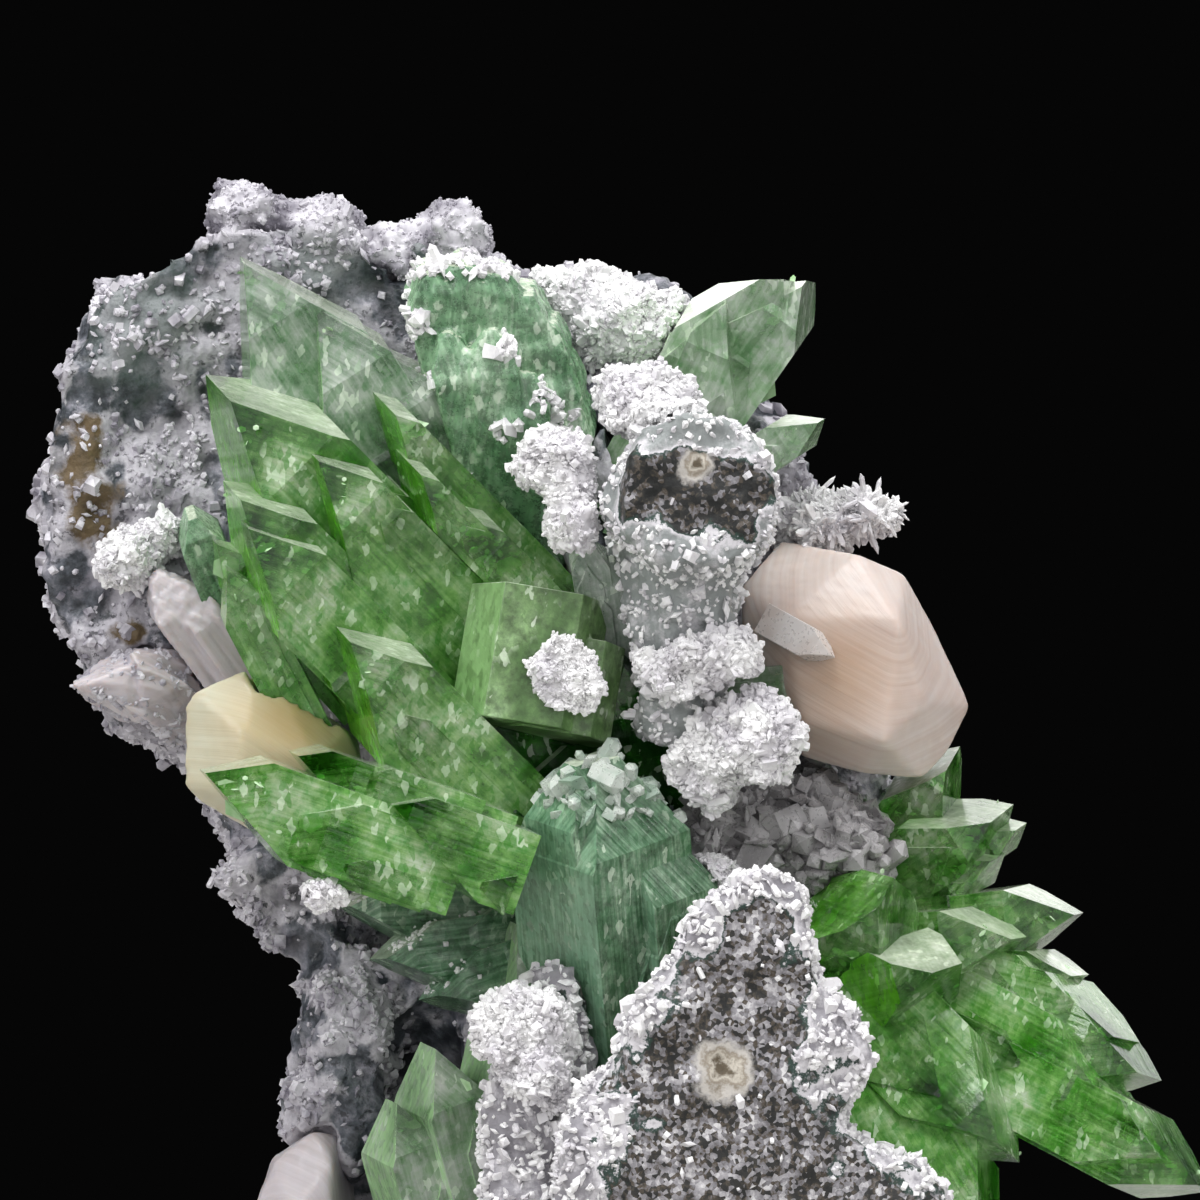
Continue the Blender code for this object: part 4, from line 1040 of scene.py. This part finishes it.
RIGHT_ROOT = (25.0, 3.0, 40.0)
RIGHT = {
    "apophyllite_right_spray_top": (
        ((35.2, -3.0, 60.2), (27.0, 5.0, 48.0), 3.4, 3.6, 4, 4, 6),
        ((40.0, -6.0, 54.8), (27.0, 3.0, 46.0), 2.8, 4.6, 5, 5, 6),
        ((42.0, -3.0, 53.4), (29.0, 5.0, 46.0), 1.8, 2.6, 3, 3, 3),
        ((39.6, -5.0, 50.4), (28.0, 4.0, 45.0), 2.4, 2.4, 4, 4, 3),
    ),
    "apophyllite_right_spray_middle": (
        ((47.6, -6.0, 44.8), (26.0, 2.0, 42.0), 3.2, 3.4, 5, 4, 3),
        ((41.4, -12.0, 42.6), (24.0, -1.0, 41.0), 3.0, 3.4, 5, 4, 3),
        ((47.6, -9.0, 38.8), (26.0, 0.0, 39.0), 2.6, 2.4, 4, 4, 5),
    ),
    "apophyllite_right_spray_low": (
        ((48.8, -12.0, 35.4), RIGHT_ROOT, 3.6, 4.0, 5, 5, 5),
        ((52.0, -13.0, 32.6), RIGHT_ROOT, 3.4, 4.4, 6, 5, 6),
        ((54.2, -14.0, 29.0), RIGHT_ROOT, 2.6, 5.0, 6, 5, 6),
        ((51.0, -18.0, 26.0), RIGHT_ROOT, 4.0, 5.0, 5, 5, 6),
        ((59.4, -17.0, 18.2), (23.0, 0.0, 37.0), 4.0, 4.4, 6, 5, 5),
        ((56.0, -20.0, 20.8), (22.0, -3.0, 38.0), 4.2, 3.4, 5, 5, 7),
    ),
    "apophyllite_right_spray_front": (
        ((40.0, -23.0, 22.0), (20.0, -6.0, 42.0), 5.0, 6.0, 5, 6, 6),
        ((38.0, -24.0, 12.0), (20.0, -8.0, 40.0), 5.0, 5.4, 5, 6, 6),
        ((28.0, -21.0, 47.4), (22.0, -4.0, 36.0), 5.0, 5.0, 4, 5, 4),
        ((34.0, -22.0, 40.0), (20.0, -4.0, 36.0), 4.0, 4.0, 4, 5, 4),
    ),
}
for seed, (node, rows) in enumerate(RIGHT.items()):
    blocks = group(FROM_ROOT, rows)
    spray(node, blocks, green, seed=seed + 30)
    veils(node, blocks, 60, seed + 30)


# Small crystals at the edges
# A dull green one at the left edge and a clear one that lies on the peach stilbite.

DULL = group("tip root", (
    ((-41.2, -1.0, 85.4), (-36.0, 5.0, 72.0)),
), right=2.2, left=2.2, front=3, back=4, ridge=3, blunt=0.8)
LYING = group("tip root", (
    ((23.0, -15.2, 70.4), (16.5, -11.2, 74.0)),
), right=1.6, left=1.6, front=1.4, back=1.4, ridge=1)
clear_quartz = quartz_druse("clear quartz", "#fbf6f4", "#eadfd9", 0.3)
spray("apophyllite_dull_crystal", DULL, frosted, "apophyllite_frosted", steps=0, seed=40)
spray("clear_crystal_on_stilbite", LYING, clear_quartz, "clear_crystal", steps=0, seed=41)


# Studio
# A round pale floor, a dark room, and soft panels above, in front and behind.

bm = bmesh.new()
bmesh.ops.create_circle(bm, cap_ends=True, segments=96, radius=0.25)
floor = new_object("floor", mesh_from(bm))
card, card_node = new_material("pale card")
card_place = card_node("TexCoord").outputs["Object"]
card_cloud = card_node("TexNoise", {"Vector": card_place, "Scale": 1 / (12.5 * MM)})
card_tone = card_node("Mix", {0: card_cloud, 6: "#a9a7a3", 7: "#b2b0ac"}, data_type="RGBA")
card_surface = card_node("BsdfPrincipled", {"Base Color": card_tone, "Roughness": 0.8})
card_node("OutputMaterial", {"Surface": card_surface})
floor.data.materials.append(card)

world = bpy.data.worlds.new("dark room")
world.use_nodes = True
world.node_tree.nodes["Background"].inputs["Color"].default_value = colour("#060606")
bpy.context.scene.world = world
bpy.context.scene.view_settings.view_transform = "Standard"

# Few bounces are enough here, because the clear crystals stand against milky ones.
cycles = bpy.context.scene.cycles
cycles.max_bounces = 6
cycles.diffuse_bounces = 2
cycles.transmission_bounces = 5
cycles.use_light_tree = False
cycles.adaptive_threshold = 0.1


def panel(name, place, width, height, glow):
    """A soft light panel that faces the specimen and that the camera doesn't see."""
    lamp = bpy.data.lights.new(name, "AREA")
    lamp.shape = "RECTANGLE"
    lamp.size = width
    lamp.size_y = height
    lamp.energy = glow * math.pi * width * height
    light = new_object(name, lamp)
    light.location = place
    light.rotation_euler = (Vector((0.0, 0.0, 0.065)) - Vector(place)).to_track_quat("-Z", "Y").to_euler()
    light.visible_camera = False


# The tent's walls glow faintly all round; the lamps over it are brighter and smaller.
panel("tent top", (0.0, 0.0, 1.3), 2.2, 2.2, 1.5)
panel("tent left", (-1.3, 0.0, 0.5), 2.2, 1.6, 0.35)
panel("tent right", (1.3, 0.0, 0.5), 2.2, 1.6, 0.4)
panel("tent front", (0.0, -1.5, 0.5), 2.2, 1.4, 1.0)
panel("tent back", (0.0, 1.3, 0.7), 2.0, 0.8, 0.8)
panel("overhead lamp", (-0.15, -0.35, 0.9), 0.5, 0.35, 7.0)
panel("left lamp", (-0.8, -0.6, 0.5), 0.25, 0.5, 7.5)
panel("right lamp", (0.75, -0.7, 0.45), 0.2, 0.4, 7.5)
panel("back lamp", (0.12, 0.75, 0.38), 0.6, 0.3, 0.9)

lens = bpy.data.cameras.new("camera")
lens.lens = 300.0
lens.sensor_width = 36.0
camera = new_object("camera", lens)
camera.location = (0.0, -1.0, 0.076)
camera.rotation_euler = (math.pi / 2, 0.0, 0.0)
bpy.context.scene.camera = camera
